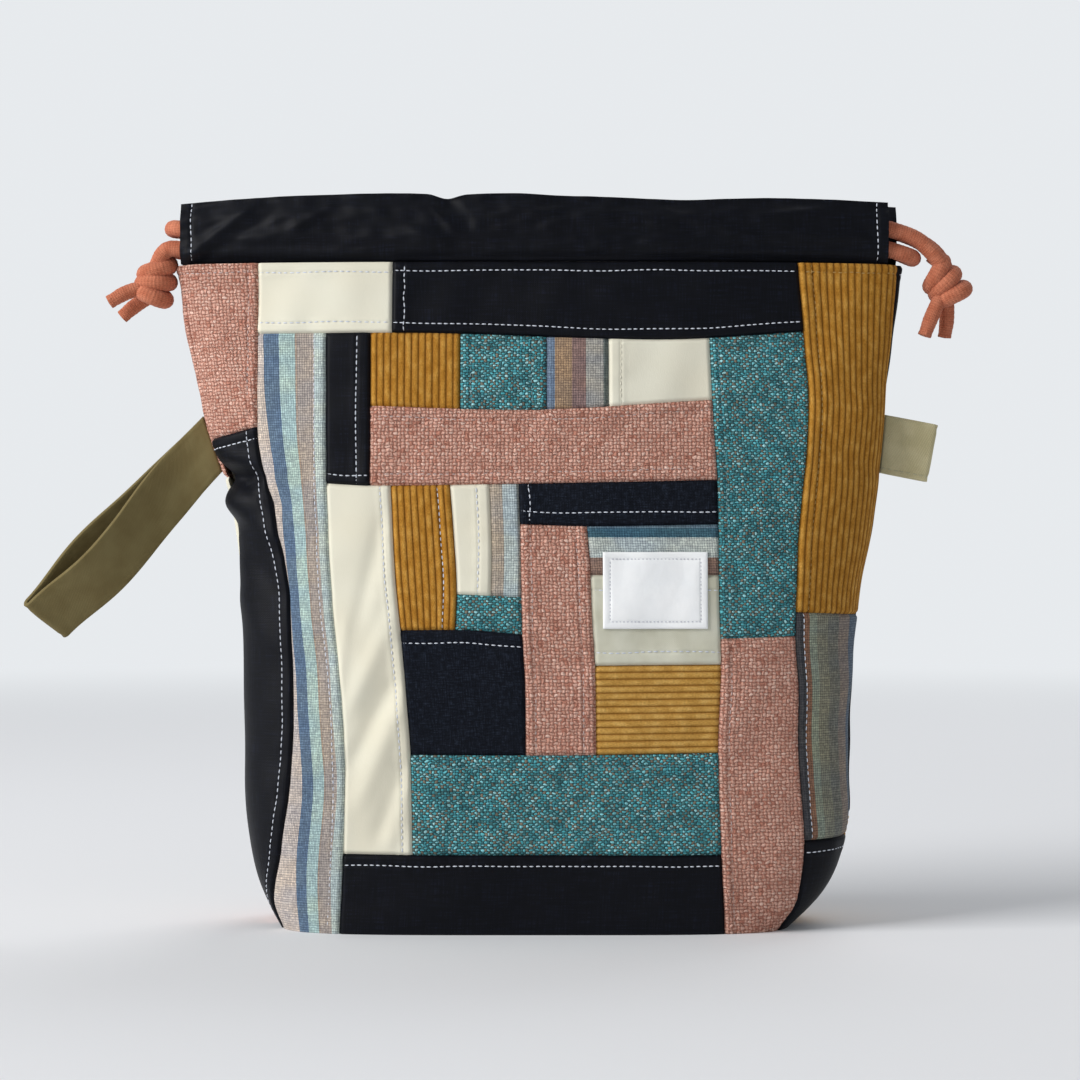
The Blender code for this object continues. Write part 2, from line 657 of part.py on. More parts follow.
def ring_turn(bm, centre, axis, radius, thick, major=14, minor=7):
    """A full turn of cord about an axis."""
    axis = Vector(axis).normalized()
    side = axis.orthogonal().normalized()
    other = axis.cross(side)
    rings = []
    for i in range(major):
        a = 2 * math.pi * i / major
        out = side * math.cos(a) + other * math.sin(a)
        turns = [2 * math.pi * k / minor for k in range(minor)]
        rings.append([bm.verts.new(centre + out * (radius + thick * math.cos(b))
                                   + axis * thick * math.sin(b)) for b in turns])
    for i, ring in enumerate(rings):
        nxt = rings[(i + 1) % major]
        for k in range(minor):
            m = (k + 1) % minor
            bm.faces.new((ring[k], ring[m], nxt[m], nxt[k]))


def tail_piece(bm, points, radius, sides=8):
    """A cord tail with a flat cut end."""
    rings = []
    for i, p in enumerate(points):
        ahead = points[min(i + 1, len(points) - 1)] - points[max(i - 1, 0)]
        turn = ahead.to_track_quat("Z", "Y")
        rings.append([bm.verts.new(p + turn @ Vector((radius * math.cos(a), radius * math.sin(a), 0)))
                      for a in (2 * math.pi * k / sides for k in range(sides))])
    for a, b in zip(rings, rings[1:]):
        for k in range(sides):
            m = (k + 1) % sides
            bm.faces.new((a[k], a[m], b[m], b[k]))
    bm.faces.new(rings[0])
    bm.faces.new(rings[-1])


def knot(name, centre, radii, wrap_axis, tails, fabric):
    """Both ends of a drawcord tied in one overhand knot: core, wrapping turn and two tails."""
    def core(bm):
        bmesh.ops.create_uvsphere(bm, u_segments=12, v_segments=8, radius=1.0)
        bmesh.ops.scale(bm, vec=radii, verts=bm.verts)
        bmesh.ops.translate(bm, vec=centre, verts=bm.verts)

    body = solid_from(name, core)
    parts = [lambda bm: ring_turn(bm, centre, wrap_axis, radii[0] - 2.4 * MM, CORD_DIAMETER / 2)]
    for tail in tails:
        parts.append(lambda bm, t=tail: tail_piece(bm, rounded(t, 5.0 * MM), CORD_DIAMETER / 2))
    for i, build in enumerate(parts):
        cutter = solid_from(f"{name}_join_{i}", build)
        cutter.hide_render = True
        cutter.display_type = "WIRE"
        join = body.modifiers.new(f"join_{i}", "BOOLEAN")
        join.operation = "UNION"
        join.solver = "EXACT"
        join.object = cutter
    body.data.materials.append(cloth(name + "_" + fabric.replace(" ", "_"), COLOURS[fabric]))
    return body


knot("right_knot", mm_point(160, 0, 250.5), (8.6 * MM, 8.2 * MM, 10.0 * MM), (1.0, 0.35, 0.55),
     ([mm_point(157, -2.5, 247), mm_point(154.5, -4.2, 239), mm_point(152, -4.6, 229.5)],
      [mm_point(162, 2.5, 246), mm_point(162.2, 3.8, 238), mm_point(161, 4.2, 230.3)]),
     "terracotta cord")
knot("left_knot", mm_point(-152.8, 0, 251.5), (8.6 * MM, 8.2 * MM, 9.9 * MM), (1.0, -0.2, -0.75),
     ([mm_point(-155, -2.5, 250), mm_point(-163.5, -3.8, 247.6), mm_point(-171.8, -4.2, 243)],
      [mm_point(-154, 2.5, 248), mm_point(-161.5, 3.9, 243.2), mm_point(-168, 4.3, 237.5)]),
     "terracotta cord")


def tape_loop(name, side, height, length, loop, bow, run, cross_root, tilt, seat, fabric, segments):
    """Folded tape loop standing out of a side seam: two layers and a round fold at the tip."""
    run = Vector(run).normalized()
    tip_cross = Vector((run.z, 0, -run.x))
    if tip_cross.z < 0:
        tip_cross = -tip_cross
    through = run.cross(tip_cross).normalized()
    if through.y > 0:
        through = -through
    lean = math.radians(tilt)
    layer_out = through * math.cos(lean) + Vector((0, 0, -1)) * math.sin(lean)
    layer_out = (layer_out - run * layer_out.dot(run)).normalized()
    tip_cross = layer_out.cross(run).normalized()
    if tip_cross.z < 0:
        tip_cross = -tip_cross

    # Middle line of the tape in the plane of the loop: near layer out, fold, far layer back
    half = loop / 2 + TAPE / 2
    start = GAP / 2 + TAPE / 2
    straight = length - half
    near = [(straight * t, start + (half - start) * smooth(t) + bow * math.sin(math.pi * t ** 1.7) ** 2)
            for t in even(segments)]
    fold = [(straight + half * math.sin(a), half * math.cos(a))
            for a in (math.pi * k / 8 for k in range(1, 8))]
    middle = near + fold + [(l, -g) for l, g in near[::-1]]

    def cross_section(i):
        l, g = middle[i]
        before, after = middle[max(i - 1, 0)], middle[min(i + 1, len(middle) - 1)]
        along = Vector((after[0] - before[0], after[1] - before[1])).normalized()
        normal = (-along.y, along.x)
        blend = smooth(l / (0.5 * length))
        cross = (cross_root.lerp(tip_cross, blend)).normalized()
        layer = cross.cross(run).normalized()
        if layer.y > 0:
            layer = -layer
        ring = []
        for w, t in ((-0.5, -0.5), (0.0, -0.5), (0.5, -0.5), (0.5, 0.5), (0.0, 0.5), (-0.5, 0.5)):
            dl, dg = normal[0] * t * TAPE, normal[1] * t * TAPE
            ring.append(root + run * (l + dl) + layer * (g + dg) + cross * (w * TAPE_WIDTH))
        return ring

    # The root edge follows the side of the body
    out = 1 if side == "right" else -1
    half_width = half_right if side == "right" else half_left
    reach = TAPE_WIDTH / 2 * cross_root.z
    upper = Vector((out * half_width(height + reach), 0, height + reach))
    lower = Vector((out * half_width(height - reach), 0, height - reach))
    root = (upper + lower) / 2 + Vector((out * seat, 0, 0))
    cross_root = (upper - lower).normalized()
    bm = bmesh.new()
    rings = [[bm.verts.new(p) for p in cross_section(i)] for i in range(len(middle))]
    for a, b in zip(rings, rings[1:]):
        for k in range(6):
            m = (k + 1) % 6
            bm.faces.new((a[k], a[m], b[m], b[k]))
    bm.faces.new(rings[0])
    bm.faces.new(rings[-1])
    return finish(name, bm, fabric)


tape_loop("wrist_strap", "left", STRAP_HEIGHT, STRAP_LENGTH, STRAP_LOOP, STRAP_BOW, (-0.69, 0, -0.724),
          Vector((-0.45, 0, 0.89)), STRAP_TILT, 0.8 * MM, "olive twill", 14)
tape_loop("side_tab", "right", TAB_HEIGHT, TAB_LENGTH, 0.8 * MM, 0.0, (0.98, 0, -0.19),
          Vector((0.215, 0, 0.977)), 0, 0.5 * MM, "olive twill", 4)


def sewn_label(name, fabric):
    """Blank white label lying on the front patches."""
    bm = bmesh.new()

    def face(inset, flip):
        rows = []
        for v in even(3):
            height = LABEL_BOTTOM + (LABEL_TOP - LABEL_BOTTOM) * v
            row = []
            for u in even(6):
                x = LABEL_LEFT + (LABEL_RIGHT - LABEL_LEFT) * u
                xs, _, _, _, run = half_section(round(height, 6))
                row.append(skin(FRONT, float(np.interp(x, xs, run)), height, inset))
            rows.append(row)
        return sheet(bm, rows, flip)

    outer, inner = face(-GAP - LABEL_CLOTH, False), face(-GAP, True)
    for a, b in zip(border(outer), border(inner)):
        zip_edge(bm, a, b)
    return finish(name, bm, fabric)


sewn_label("label", "white tape")
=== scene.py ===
"""Looks of the patchwork drawstring bag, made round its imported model.

Metres, +Z up, front faces -Y. The cloth lies on the same skin as the solids: level cuts
from a rounded box at the base to a slim lens at the mouth. A place on the skin is an arc
length from the left side and a height.
"""
import math

import bmesh
import bpy
import numpy as np
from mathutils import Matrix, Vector


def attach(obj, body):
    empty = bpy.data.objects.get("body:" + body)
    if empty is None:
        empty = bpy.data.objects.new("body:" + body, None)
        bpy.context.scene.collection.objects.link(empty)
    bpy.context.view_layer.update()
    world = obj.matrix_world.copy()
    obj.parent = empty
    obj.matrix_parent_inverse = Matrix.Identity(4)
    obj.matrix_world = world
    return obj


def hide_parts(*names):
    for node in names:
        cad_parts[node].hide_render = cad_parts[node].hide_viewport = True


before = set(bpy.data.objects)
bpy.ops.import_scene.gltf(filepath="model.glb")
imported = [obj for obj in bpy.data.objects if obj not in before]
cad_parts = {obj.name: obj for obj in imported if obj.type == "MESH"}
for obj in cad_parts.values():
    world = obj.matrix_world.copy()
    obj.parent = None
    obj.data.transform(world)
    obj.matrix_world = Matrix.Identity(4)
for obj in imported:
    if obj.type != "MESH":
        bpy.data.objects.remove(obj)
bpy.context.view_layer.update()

MM = 0.001
FRONT, BACK = -1, 1

# Body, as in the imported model
CLOTH = 1.3 * MM
BODY_TOP = 258.5 * MM
EDGE_RADIUS = 5.0 * MM
SEAM_FORWARD = 6.0 * MM
LEFT_TUCK, RIGHT_TUCK, CORNER_RISE = 13.0 * MM, 24.0 * MM, 60.0 * MM
CASING_HEIGHT = 26.0 * MM
CASING_DROOP = 2.5 * MM
CASING_EDGE, CASING_BULGE = 1.3 * MM, 4.6 * MM
CASING_MID_OUT, CASING_END_OUT = 18.4 * MM, 5.2 * MM
CASING_LEAN = 2.0 * MM
CASING_HALF = 142.0 * MM
CASING_CLOTH = 0.8 * MM
FRONT_CASING_ENDS = (-141.0 * MM, 136.5 * MM)
BACK_CASING_ENDS = (-136.5 * MM, 141.0 * MM)
GAP = 0.3 * MM
CORD_DIAMETER = 6.4 * MM
UPPER_CORD, LOWER_CORD = 15.4 * MM, 6.6 * MM
TAPE, TAPE_WIDTH = 1.8 * MM, 23.0 * MM
STRAP_LENGTH, STRAP_LOOP, STRAP_HEIGHT = 96.0 * MM, 1.4 * MM, 188.5 * MM
STRAP_BOW, STRAP_TILT = 5.6 * MM, 46
TAB_LENGTH, TAB_LOOP, TAB_HEIGHT = 19.5 * MM, 0.8 * MM, 188.5 * MM
TAPE_SEAT = 0.35 * MM
TAPE_GROOVE = 0.41          # from the tape's middle, as a share of its width
LABEL_LEFT, LABEL_RIGHT = 24.0 * MM, 64.0 * MM
LABEL_BOTTOM, LABEL_TOP = 116.6 * MM, 145.9 * MM
LINING_INSET = 1.9 * MM
WALE = 2.6 * MM
WALE_STEPS = (0, .05, .13, .27, .5, .73, .87, .95)

# Sewing
STITCH, STITCH_REST = 1.85 * MM, 0.64 * MM
THREAD = 0.23 * MM


def line(*pairs):
    """Smooth line through (position, value) pairs in millimetres that never swings past a pair."""
    pairs = sorted(pairs)
    pos = np.array([a for a, _ in pairs]) * MM
    val = np.array([b for _, b in pairs]) * MM
    if len(pairs) == 1:
        return lambda t: np.zeros_like(np.asarray(t, float)) + val[0]
    rise = np.diff(val) / np.diff(pos)
    slope = [rise[0]]
    for before, after in zip(rise, rise[1:]):
        slope.append(0.0 if before * after <= 0 else 2 * before * after / (before + after))
    slope = np.array(slope + [rise[-1]])

    def at(t):
        t = np.clip(np.asarray(t, float), pos[0], pos[-1])
        i = np.clip(np.searchsorted(pos, t) - 1, 0, len(rise) - 1)
        h = pos[i + 1] - pos[i]
        u = (t - pos[i]) / h
        return (val[i] * (1 + 2 * u) * (1 - u) ** 2 + slope[i] * h * u * (1 - u) ** 2
                + val[i + 1] * u * u * (3 - 2 * u) + slope[i + 1] * h * u * u * (u - 1))
    return at


half_left = line((0, 114), (60, 115), (130, 117.8), (165, 121.5), (195, 131.5), (225, 138), (258, 143.4))
half_right = line((0, 121), (64, 121.5), (122, 125), (166, 132.5), (206, 136.5), (258, 143))
half_depth = line((0, 42), (60, 42.5), (120, 41), (170, 36), (214, 29), (258, 21))
corner_power = line((0, 4500), (40, 3600), (100, 3000), (180, 2600), (258, 2300))

# Seam plan of the front. Upright seams pair (height, x), level seams pair (x, height).
left_spine = line((0, -99.6), (12, -103.4), (32, -99.6), (60, -96.1), (85, -94.9), (127, -96.5),
                  (158, -102), (178, -107.5), (194, -110), (258, -110))
corner_hem = line((-143, 188), (-127, 190.5), (-110, 194.5))
cream_top_end = line((230, -57.3))
right_outer = line((0, 92), (12, 99), (34, 101.5), (71, 99.3), (93, 99.6), (113, 98.2), (142, 99),
                   (164, 100.8), (183, 103), (205, 104.3), (221, 103.3), (258, 100.5))
top_row_hem = line((-110, 230.7), (-57, 230.7), (46, 228), (103, 231.5))
stripe_right = line((0, -76.9), (30, -75.6), (60, -74.9), (90, -76), (127, -79.8), (172, -82.3),
                    (231, -83))
upper_strip_end = line((172, -65.4), (231, -65.6))
upper_block_a = line((200, -30.8))
upper_block_b = line((200, 2.5))
upper_block_c = line((200, 26.5))
right_spine = line((0, 70.8), (30, 69.3), (69, 68.2), (102, 69.3), (127, 68.6), (170, 68.3),
                   (202, 66.7), (231, 65.5))
band_top = line((-66, 202.2), (-8, 200.6), (67, 204.6))
band_hem = line((-83, 172.3), (-65, 171.4), (0, 172.2), (69, 173.6))
left_strip_right = line((30, -48.6), (69, -49.5), (98, -51.7), (116, -53.4), (137, -55.6), (172, -57.6))
centre_a_right = line((115, -32.4), (130, -31.8), (153, -33.1), (172, -34.6))
centre_b_right = line((129, -18.8), (144, -18.5), (172, -19.4))
centre_c_right = line((115, -6.8), (130, -7.1), (157, -7.7), (172, -8.2))
teal_block_top = line((-32, 129.8), (-7, 128.6))
black_block_top = line((-53, 116), (-30, 116.2), (-6.8, 114.5))
pink_strip_left = line((69, -5.4), (93, -5.6), (115, -6.8), (130, -7.1), (157, -7.7))
pink_strip_right = line((69, 21.4), (102, 21), (121, 19.8), (139, 19.2), (156, 17.9))
centre_band_hem = line((-8, 156.6), (18, 155.8), (69, 156.5))
label_band_hem = line((19, 137.1))
khaki_hem = line((20, 102.6), (69, 102.9))
lower_band_top = line((-50, 68.6), (-5, 68.4), (69, 69.1))
bottom_band_top = line((-76, 30.5), (69, 30.3))
right_strip_break = line((68, 112.7), (99, 113.6))
right_panel_hem = line((98, 122.8), (125, 121.5))
right_corner_top = line((101, 35.2), (120, 35.8))
back_left_inner = line((0, -76), (258, -82))
back_right_inner = line((0, 80), (258, 86))
back_left_low = line((-120, 46), (-76, 48))
back_left_high = line((-135, 176), (-80, 172))
back_right_low = line((80, 44), (120, 43))
back_top_hem = line((-82, 226), (86, 228))
back_middle = line((44, -22), (226, -18))
back_pink_top = line((-20, 150), (84, 152))
back_pink_hem = line((-78, 94), (84, 97))
back_bottom_top = line((-78, 44), (82, 44))
top_edge = line((0, BODY_TOP / MM))
floor_edge = line((0, 0))
SIDE = "side seam"


def half_section(height):
    """Level cut of one half, left widest line to right: x, depth, outward normal, arc length."""
    shrink = max(0.0, 1 - height / CORNER_RISE) ** 3
    left = half_left(height) - LEFT_TUCK * shrink - EDGE_RADIUS
    right = half_right(height) - RIGHT_TUCK * shrink - EDGE_RADIUS
    deep = half_depth(height) - EDGE_RADIUS
    power = corner_power(height) / MM / 1000
    turn = np.linspace(0, math.pi, 2401)
    c, s = -np.cos(turn), np.abs(np.sin(turn))
    wide = np.where(c < 0, left, right)
    x = wide * np.sign(c) * np.abs(c) ** (2 / power)
    y = deep * s ** (2 / power)
    nx = np.sign(c) * (np.abs(x) / wide) ** (power - 1) / wide
    ny = (y / deep) ** (power - 1) / deep
    size = np.hypot(nx, ny)
    nx, ny = nx / size, ny / size
    x, y = x + EDGE_RADIUS * nx, y + EDGE_RADIUS * ny
    arc = np.concatenate(([0], np.cumsum(np.hypot(np.diff(x), np.diff(y)))))
    return x, y, nx, ny, arc


LEVELS = np.linspace(0, BODY_TOP, 260)
SHARES = np.linspace(0, 1, 801)
SECTIONS = [half_section(h) for h in LEVELS]
LENGTHS = np.array([s[4][-1] for s in SECTIONS])
TABLE = np.array([np.stack([np.interp(SHARES * s[4][-1], s[4], v) for v in s[:4]], -1)
                  for s in SECTIONS])


def half_length(height):
    return np.interp(height, LEVELS, LENGTHS)


def skin(side, arc, height):
    """Points of the skin and its level outward normals; arc past an end runs round the side."""
    arc, height = np.broadcast_arrays(np.asarray(arc, float), np.asarray(height, float))
    share = arc / half_length(height)
    side = np.where((share < 0) | (share > 1), -side, side)
    share = np.where(share < 0, -share, np.where(share > 1, 2 - share, share))
    row = np.clip(height / BODY_TOP, 0, 1) * (len(LEVELS) - 1)
    col = np.clip(share, 0, 1) * (len(SHARES) - 1)
    i, k = np.minimum(row.astype(int), len(LEVELS) - 2), np.minimum(col.astype(int), len(SHARES) - 2)
    f, g = (row - i)[..., None], (col - k)[..., None]
    v = ((TABLE[i, k] * (1 - g) + TABLE[i, k + 1] * g) * (1 - f)
         + (TABLE[i + 1, k] * (1 - g) + TABLE[i + 1, k + 1] * g) * f)
    normal = np.stack([v[..., 2], side * v[..., 3], np.zeros_like(height)], -1)
    normal /= np.linalg.norm(normal, axis=-1, keepdims=True)
    return np.stack([v[..., 0], side * v[..., 1], height], -1), normal


def seam_arc(seam, side, right):
    """Arc length of an upright seam as a function of height."""
    if seam is SIDE:
        step = SEAM_FORWARD if side == FRONT else -SEAM_FORWARD
        values = LENGTHS - step if right else np.full_like(LENGTHS, step)
    else:
        values = np.array([np.interp(seam(h), s[0], s[4]) for h, s in zip(LEVELS, SECTIONS)])
    return lambda z: np.interp(z, LEVELS, values)


def smooth(t):
    t = np.clip(t, 0.0, 1.0)
    return t * t * (3 - 2 * t)


def waves(p, q, size, seed, count=7):
    """Soft irregular relief between about -1 and 1, from waves in seeded directions."""
    draw = np.random.default_rng(seed)
    total = np.zeros(np.broadcast(p, q).shape)
    for _ in range(count):
        turn, phase = draw.uniform(0, 2 * math.pi, 2)
        run = (p * math.cos(turn) + q * math.sin(turn)) / (size * draw.uniform(0.7, 1.6))
        total = total + np.sin(2 * math.pi * run + phase)
    return total / math.sqrt(count)


def ridge(x, z, start, end, width, height, skew=0.0):
    """Soft ridge, or valley where height is below zero, along a line between two (x, z) points in mm."""
    a, b = np.array(start) * MM, np.array(end) * MM
    run = np.linalg.norm(b - a)
    along = ((x - a[0]) * (b - a)[0] + (z - a[1]) * (b - a)[1]) / run
    off = ((x - a[0]) * (b - a)[1] - (z - a[1]) * (b - a)[0]) / run / (width * MM)
    off = off + skew * off * np.abs(off)
    ends = smooth(along / (0.35 * run) + 0.5) * smooth((run - along) / (0.35 * run) + 0.5)
    return height * MM * np.exp(-off * off) * ends


# Folds of the front as ridges: start, end, width, height, all in mm
FRONT_FOLDS = (
    ((-56, 122), (-73, 84), 4.2, 1.5), ((-55, 99), (-73, 63), 3.8, -1.2),
    ((-52, 90), (-69, 50), 4.4, 1.4), ((-50, 68), (-62, 36), 3.8, -1.0), ((-52, 56), (-58, 33), 3.6, 0.7),
    ((-60, 160), (-70, 118), 3.4, -0.9), ((-74, 120), (-77, 90), 2.4, 0.6),
    ((-126, 186), (-96, 172), 3.4, 1.3), ((-124, 178), (-98, 162), 3.0, -1.6),
    ((-122, 166), (-100, 150), 4.5, 1.6), ((-118, 150), (-98, 128), 4.0, -0.7),
    ((-128, 236), (-112, 205), 4.0, 0.5), ((-118, 130), (-101, 108), 5.0, 0.6),
    ((-108, 60), (-92, 22), 5.0, 0.5),
    ((108, 190), (133, 178), 4.0, -0.6), ((108, 205), (130, 200), 4.5, 0.5),
    ((70, 215), (100, 180), 7.0, 0.5), ((20, 247), (60, 234), 4.0, 0.5),
    ((60, 250), (95, 236), 4.5, 0.45), ((-40, 240), (10, 243), 4.0, 0.35),
)


def folds(side, point):
    """How far the whole cloth, with all its layers, stands off the skin."""
    x, z = point[..., 0], point[..., 2]
    calm = smooth(z / (14 * MM)) * smooth((BODY_TOP - z) / (10 * MM))
    # Still where the strap and the tab come out of the side seams
    sewn = smooth((17 * MM - np.abs(z - 189 * MM)) / (4 * MM)) * smooth((np.abs(x) / MM - 118) / 8)
    if side == BACK:
        calm = calm * (1 - 0.85 * sewn)
    total = 0.55 * MM * waves(x, z * 0.8, 62 * MM, 5 + side)
    total = total + 0.22 * MM * waves(x, z, 23 * MM, 9 + side)
    if side == FRONT:
        for start, end, width, height in FRONT_FOLDS:
            total = total + ridge(x, z, start, end, width, height)
        total = total - pinch(x, z)
    return total * calm


def pinch(x, z):
    """Left side seam drawn in under the strap."""
    near = smooth((-x / MM - 100) / 14)
    return near * MM * (3.4 * np.exp(-((z / MM - 175.3) / 4.2) ** 2)
                        - 1.9 * np.exp(-((z / MM - 166.0) / 5.5) ** 2)
                        + 1.2 * np.exp(-((z / MM - 156.5) / 5.0) ** 2))


def wale_count(length):
    return max(2, round(length / WALE))


def wale_shares(length):
    """Shares along a run of wales, closer at their grooves."""
    count = wale_count(length)
    return np.unique(np.concatenate([(np.arange(count) + f) / count for f in WALE_STEPS] + [[1.0]]))


class Patch:
    """A piece of cloth between four seams: left, right, bottom and top."""

    def __init__(self, name, side, left, right, bottom, top, fabric, wales="", stitched=""):
        self.name, self.side, self.fabric, self.wales = name, side, fabric, wales
        self.left, self.right = seam_arc(left, side, False), seam_arc(right, side, True)
        self.bottom, self.top = bottom, top
        self.floor = bottom is floor_edge
        self.open_top = top is top_edge
        self.stitched = dict(part.split(":") for part in stitched.split()) if stitched else {}
        self.stitched = {edge: float(off) * MM for edge, off in self.stitched.items()}
        middle = self.spread(np.array([0.5]), np.array([0.5]))
        self.width = float(self.right(middle[1][0, 0]) - self.left(middle[1][0, 0]))
        x = float(middle[2][0, 0])
        self.tall = float(self.top(x) - self.bottom(x))
        self.seed = sum(ord(c) for c in name)

    def spread(self, us, vs):
        """Arc, height and x at shares across and up the piece."""
        u, v = np.meshgrid(us, vs)
        z = 0.5 * (self.bottom(0.0) + self.top(0.0)) + 0 * u
        for _ in range(9):
            a, b = self.left(z), self.right(z)
            x = skin(self.side, a + (b - a) * u, z)[0][..., 0]
            low, high = self.bottom(x), self.top(x)
            z = low + (high - low) * v
        a, b = self.left(z), self.right(z)
        return a + (b - a) * u, z, x

    def edges(self, arc, z):
        """Distances from the four seams."""
        x = skin(self.side, arc, z)[0][..., 0]
        return {"left": arc - self.left(z), "right": self.right(z) - arc,
                "bottom": z - self.bottom(x), "top": self.top(x) - z}

    def relief(self, arc, z):
        """Height of the piece's own form over the skin: turned edges, grooves and wales."""
        away = self.edges(arc, z)
        total = np.zeros_like(np.asarray(arc, float))
        soft = FABRICS[self.fabric]["loft"]
        for edge, e in away.items():
            if self.floor and edge == "bottom":
                continue
            drop = 0.35 if edge == "top" and self.open_top else 0.95
            total = total - drop * MM * np.exp(-(np.maximum(e, 0) / (0.75 * MM)) ** 2)
            if edge in self.stitched:
                off = self.stitched[edge]
                run = z if edge in ("left", "right") else arc
                beat = 0.75 + 0.25 * np.cos(2 * math.pi * run / (STITCH + STITCH_REST))
                total = total - (0.35 + 0.3 * soft) * MM * beat * np.exp(-((e - off) / (0.62 * MM)) ** 2)
                total = total + 0.3 * MM * smooth(e / (0.9 * MM)) * smooth((off + 2.6 * MM - e) / (2.6 * MM))
                ruck = waves(run, 0 * run, 9 * MM, self.seed + len(edge), 4)
                total = total + 0.12 * MM * ruck * np.exp(-((e - off) / (3.5 * MM)) ** 2)
        if self.wales:
            total = total + 0.5 * MM * (self.wale(arc, z) - 1)
        elif soft > 0.8:
            total = total + 0.1 * MM * waves(arc, z, 3.0 * MM, self.seed, 9)
        return total

    def wale(self, arc, z):
        """1 along the crest of a wale and 0 in a groove."""
        if self.wales == "upright":
            share = (arc - self.left(z)) / (self.right(z) - self.left(z))
            count = wale_count(self.width)
        else:
            x = skin(self.side, arc, z)[0][..., 0]
            share = (z - self.bottom(x)) / (self.top(x) - self.bottom(x))
            count = wale_count(self.tall)
        across = 2 * np.abs((share * count) % 1 - 0.5)
        return np.sqrt(np.clip(1 - 0.97 * across ** 2.4, 0, 1))

    def point(self, arc, z, lift=0.0):
        """Places on the piece's outer face, lifted off it."""
        at, normal = skin(self.side, arc, z)
        return at + normal * (folds(self.side, at) + self.relief(arc, z) + lift)[..., None]

    def steps(self, length, step, ends):
        """Shares along a direction, closer at seams and at stitched lines."""
        marks = {0.0, length}
        for e in (0.3, 0.6, 0.95, 1.5, 2.2):
            marks |= {e * MM, length - e * MM}
        for edge, flip in zip(ends, (False, True)):
            if edge in self.stitched:
                off = self.stitched[edge]
                for e in (-0.9, -0.45, 0, 0.45, 0.9):
                    marks.add(length - off - e * MM if flip else off + e * MM)
        count = max(2, math.ceil(length / step))
        marks |= {length * i / count for i in range(count + 1)}
        kept = []
        for m in sorted(marks):
            if 0 <= m <= length and (not kept or m - kept[-1] > 0.16 * MM):
                kept.append(m)
        kept[-1] = length
        return np.array(kept) / length

    def across(self, arc, z):
        """Cloth coordinates: along the level from a seam, and height."""
        away = self.edges(arc, z)
        if self.name == "front_stripe_left_strip":
            # The strip is sewn askew, so its bands crowd together toward the floor
            crowd = 1.0 + 0.42 * smooth((215 * MM - z) / (75 * MM))
            bend = 0.7 * MM * waves(z, 0 * z, 44 * MM, 3, 4)
            return np.stack([away["right"] * crowd + bend, z], -1)
        return np.stack([away["left"], z], -1)

    def build(self):
        step = FABRICS[self.fabric]["step"] * (1.0 if self.side == FRONT else 1.7)
        us = self.steps(self.width, step * MM, ("left", "right"))
        vs = self.steps(self.tall, step * MM, ("bottom", "top"))
        if self.wales == "upright":
            us = wale_shares(self.width)
            vs = self.steps(self.tall, WALE, ("bottom", "top"))
        elif self.wales == "level":
            vs = wale_shares(self.tall)
            us = self.steps(self.width, WALE, ("left", "right"))
        arc, z, _ = self.spread(us, vs)
        outer = self.point(arc, z)
        coarse_u, coarse_v = us[thin(len(us), 7)], vs[thin(len(vs), 7)]
        arc_in, z_in, _ = self.spread(coarse_u, coarse_v)
        at, normal = skin(self.side, arc_in, z_in)
        inner = at + normal * (folds(self.side, at) - CLOTH)[..., None]
        obj = shell(self.name + "_cloth", outer, inner, thin(len(us), 7), thin(len(vs), 7),
                    self.across(arc, z), {"wale": self.wale(arc, z) if self.wales else None})
        dress(obj, self.fabric, self.name, self)
        return obj


def thin(count, every):
    """Indices of every nth of a run, with both ends."""
    return np.array(sorted(set(range(0, count - 1, every)) | {count - 1}))


def rim_faces(a, b):
    """Triangles between two vertex runs with shared ends in step: a fine, b coarse."""
    faces, i, j = [], 0, 0
    while i < len(a) - 1 or j < len(b) - 1:
        if j == len(b) - 1 or (i < len(a) - 1 and (i + 1) / (len(a) - 1) <= (j + 1) / (len(b) - 1) + 1e-9):
            faces.append((a[i], a[i + 1], b[j]))
            i += 1
        else:
            faces.append((a[i], b[j + 1], b[j]))
            j += 1
    return faces


def mesh_object(name, points, faces, uvs=None, values=None):
    mesh = bpy.data.meshes.new(name)
    mesh.from_pydata([tuple(p) for p in points], [], faces)
    mesh.validate()
    if uvs is not None:
        layer = mesh.uv_layers.new(name="cloth")
        index = np.zeros(len(mesh.loops), int)
        mesh.loops.foreach_get("vertex_index", index)
        layer.uv.foreach_set("vector", np.asarray(uvs, np.float32)[index].ravel())
    for key, value in (values or {}).items():
        if value is not None:
            made = mesh.attributes.new(key, "FLOAT", "POINT")
            made.data.foreach_set("value", np.asarray(value, np.float32).ravel())
    mesh.shade_smooth()
    obj = bpy.data.objects.new(name, mesh)
    bpy.context.scene.collection.objects.link(obj)
    return obj


def grid_faces(rows, cols, start=0, flip=False, wrap=False):
    quads = []
    for j in range(rows - 1):
        for i in range(cols if wrap else cols - 1):
            k = (i + 1) % cols
            q = (start + j * cols + i, start + j * cols + k,
                 start + (j + 1) * cols + k, start + (j + 1) * cols + i)
            quads.append(q[::-1] if flip else q)
    return quads


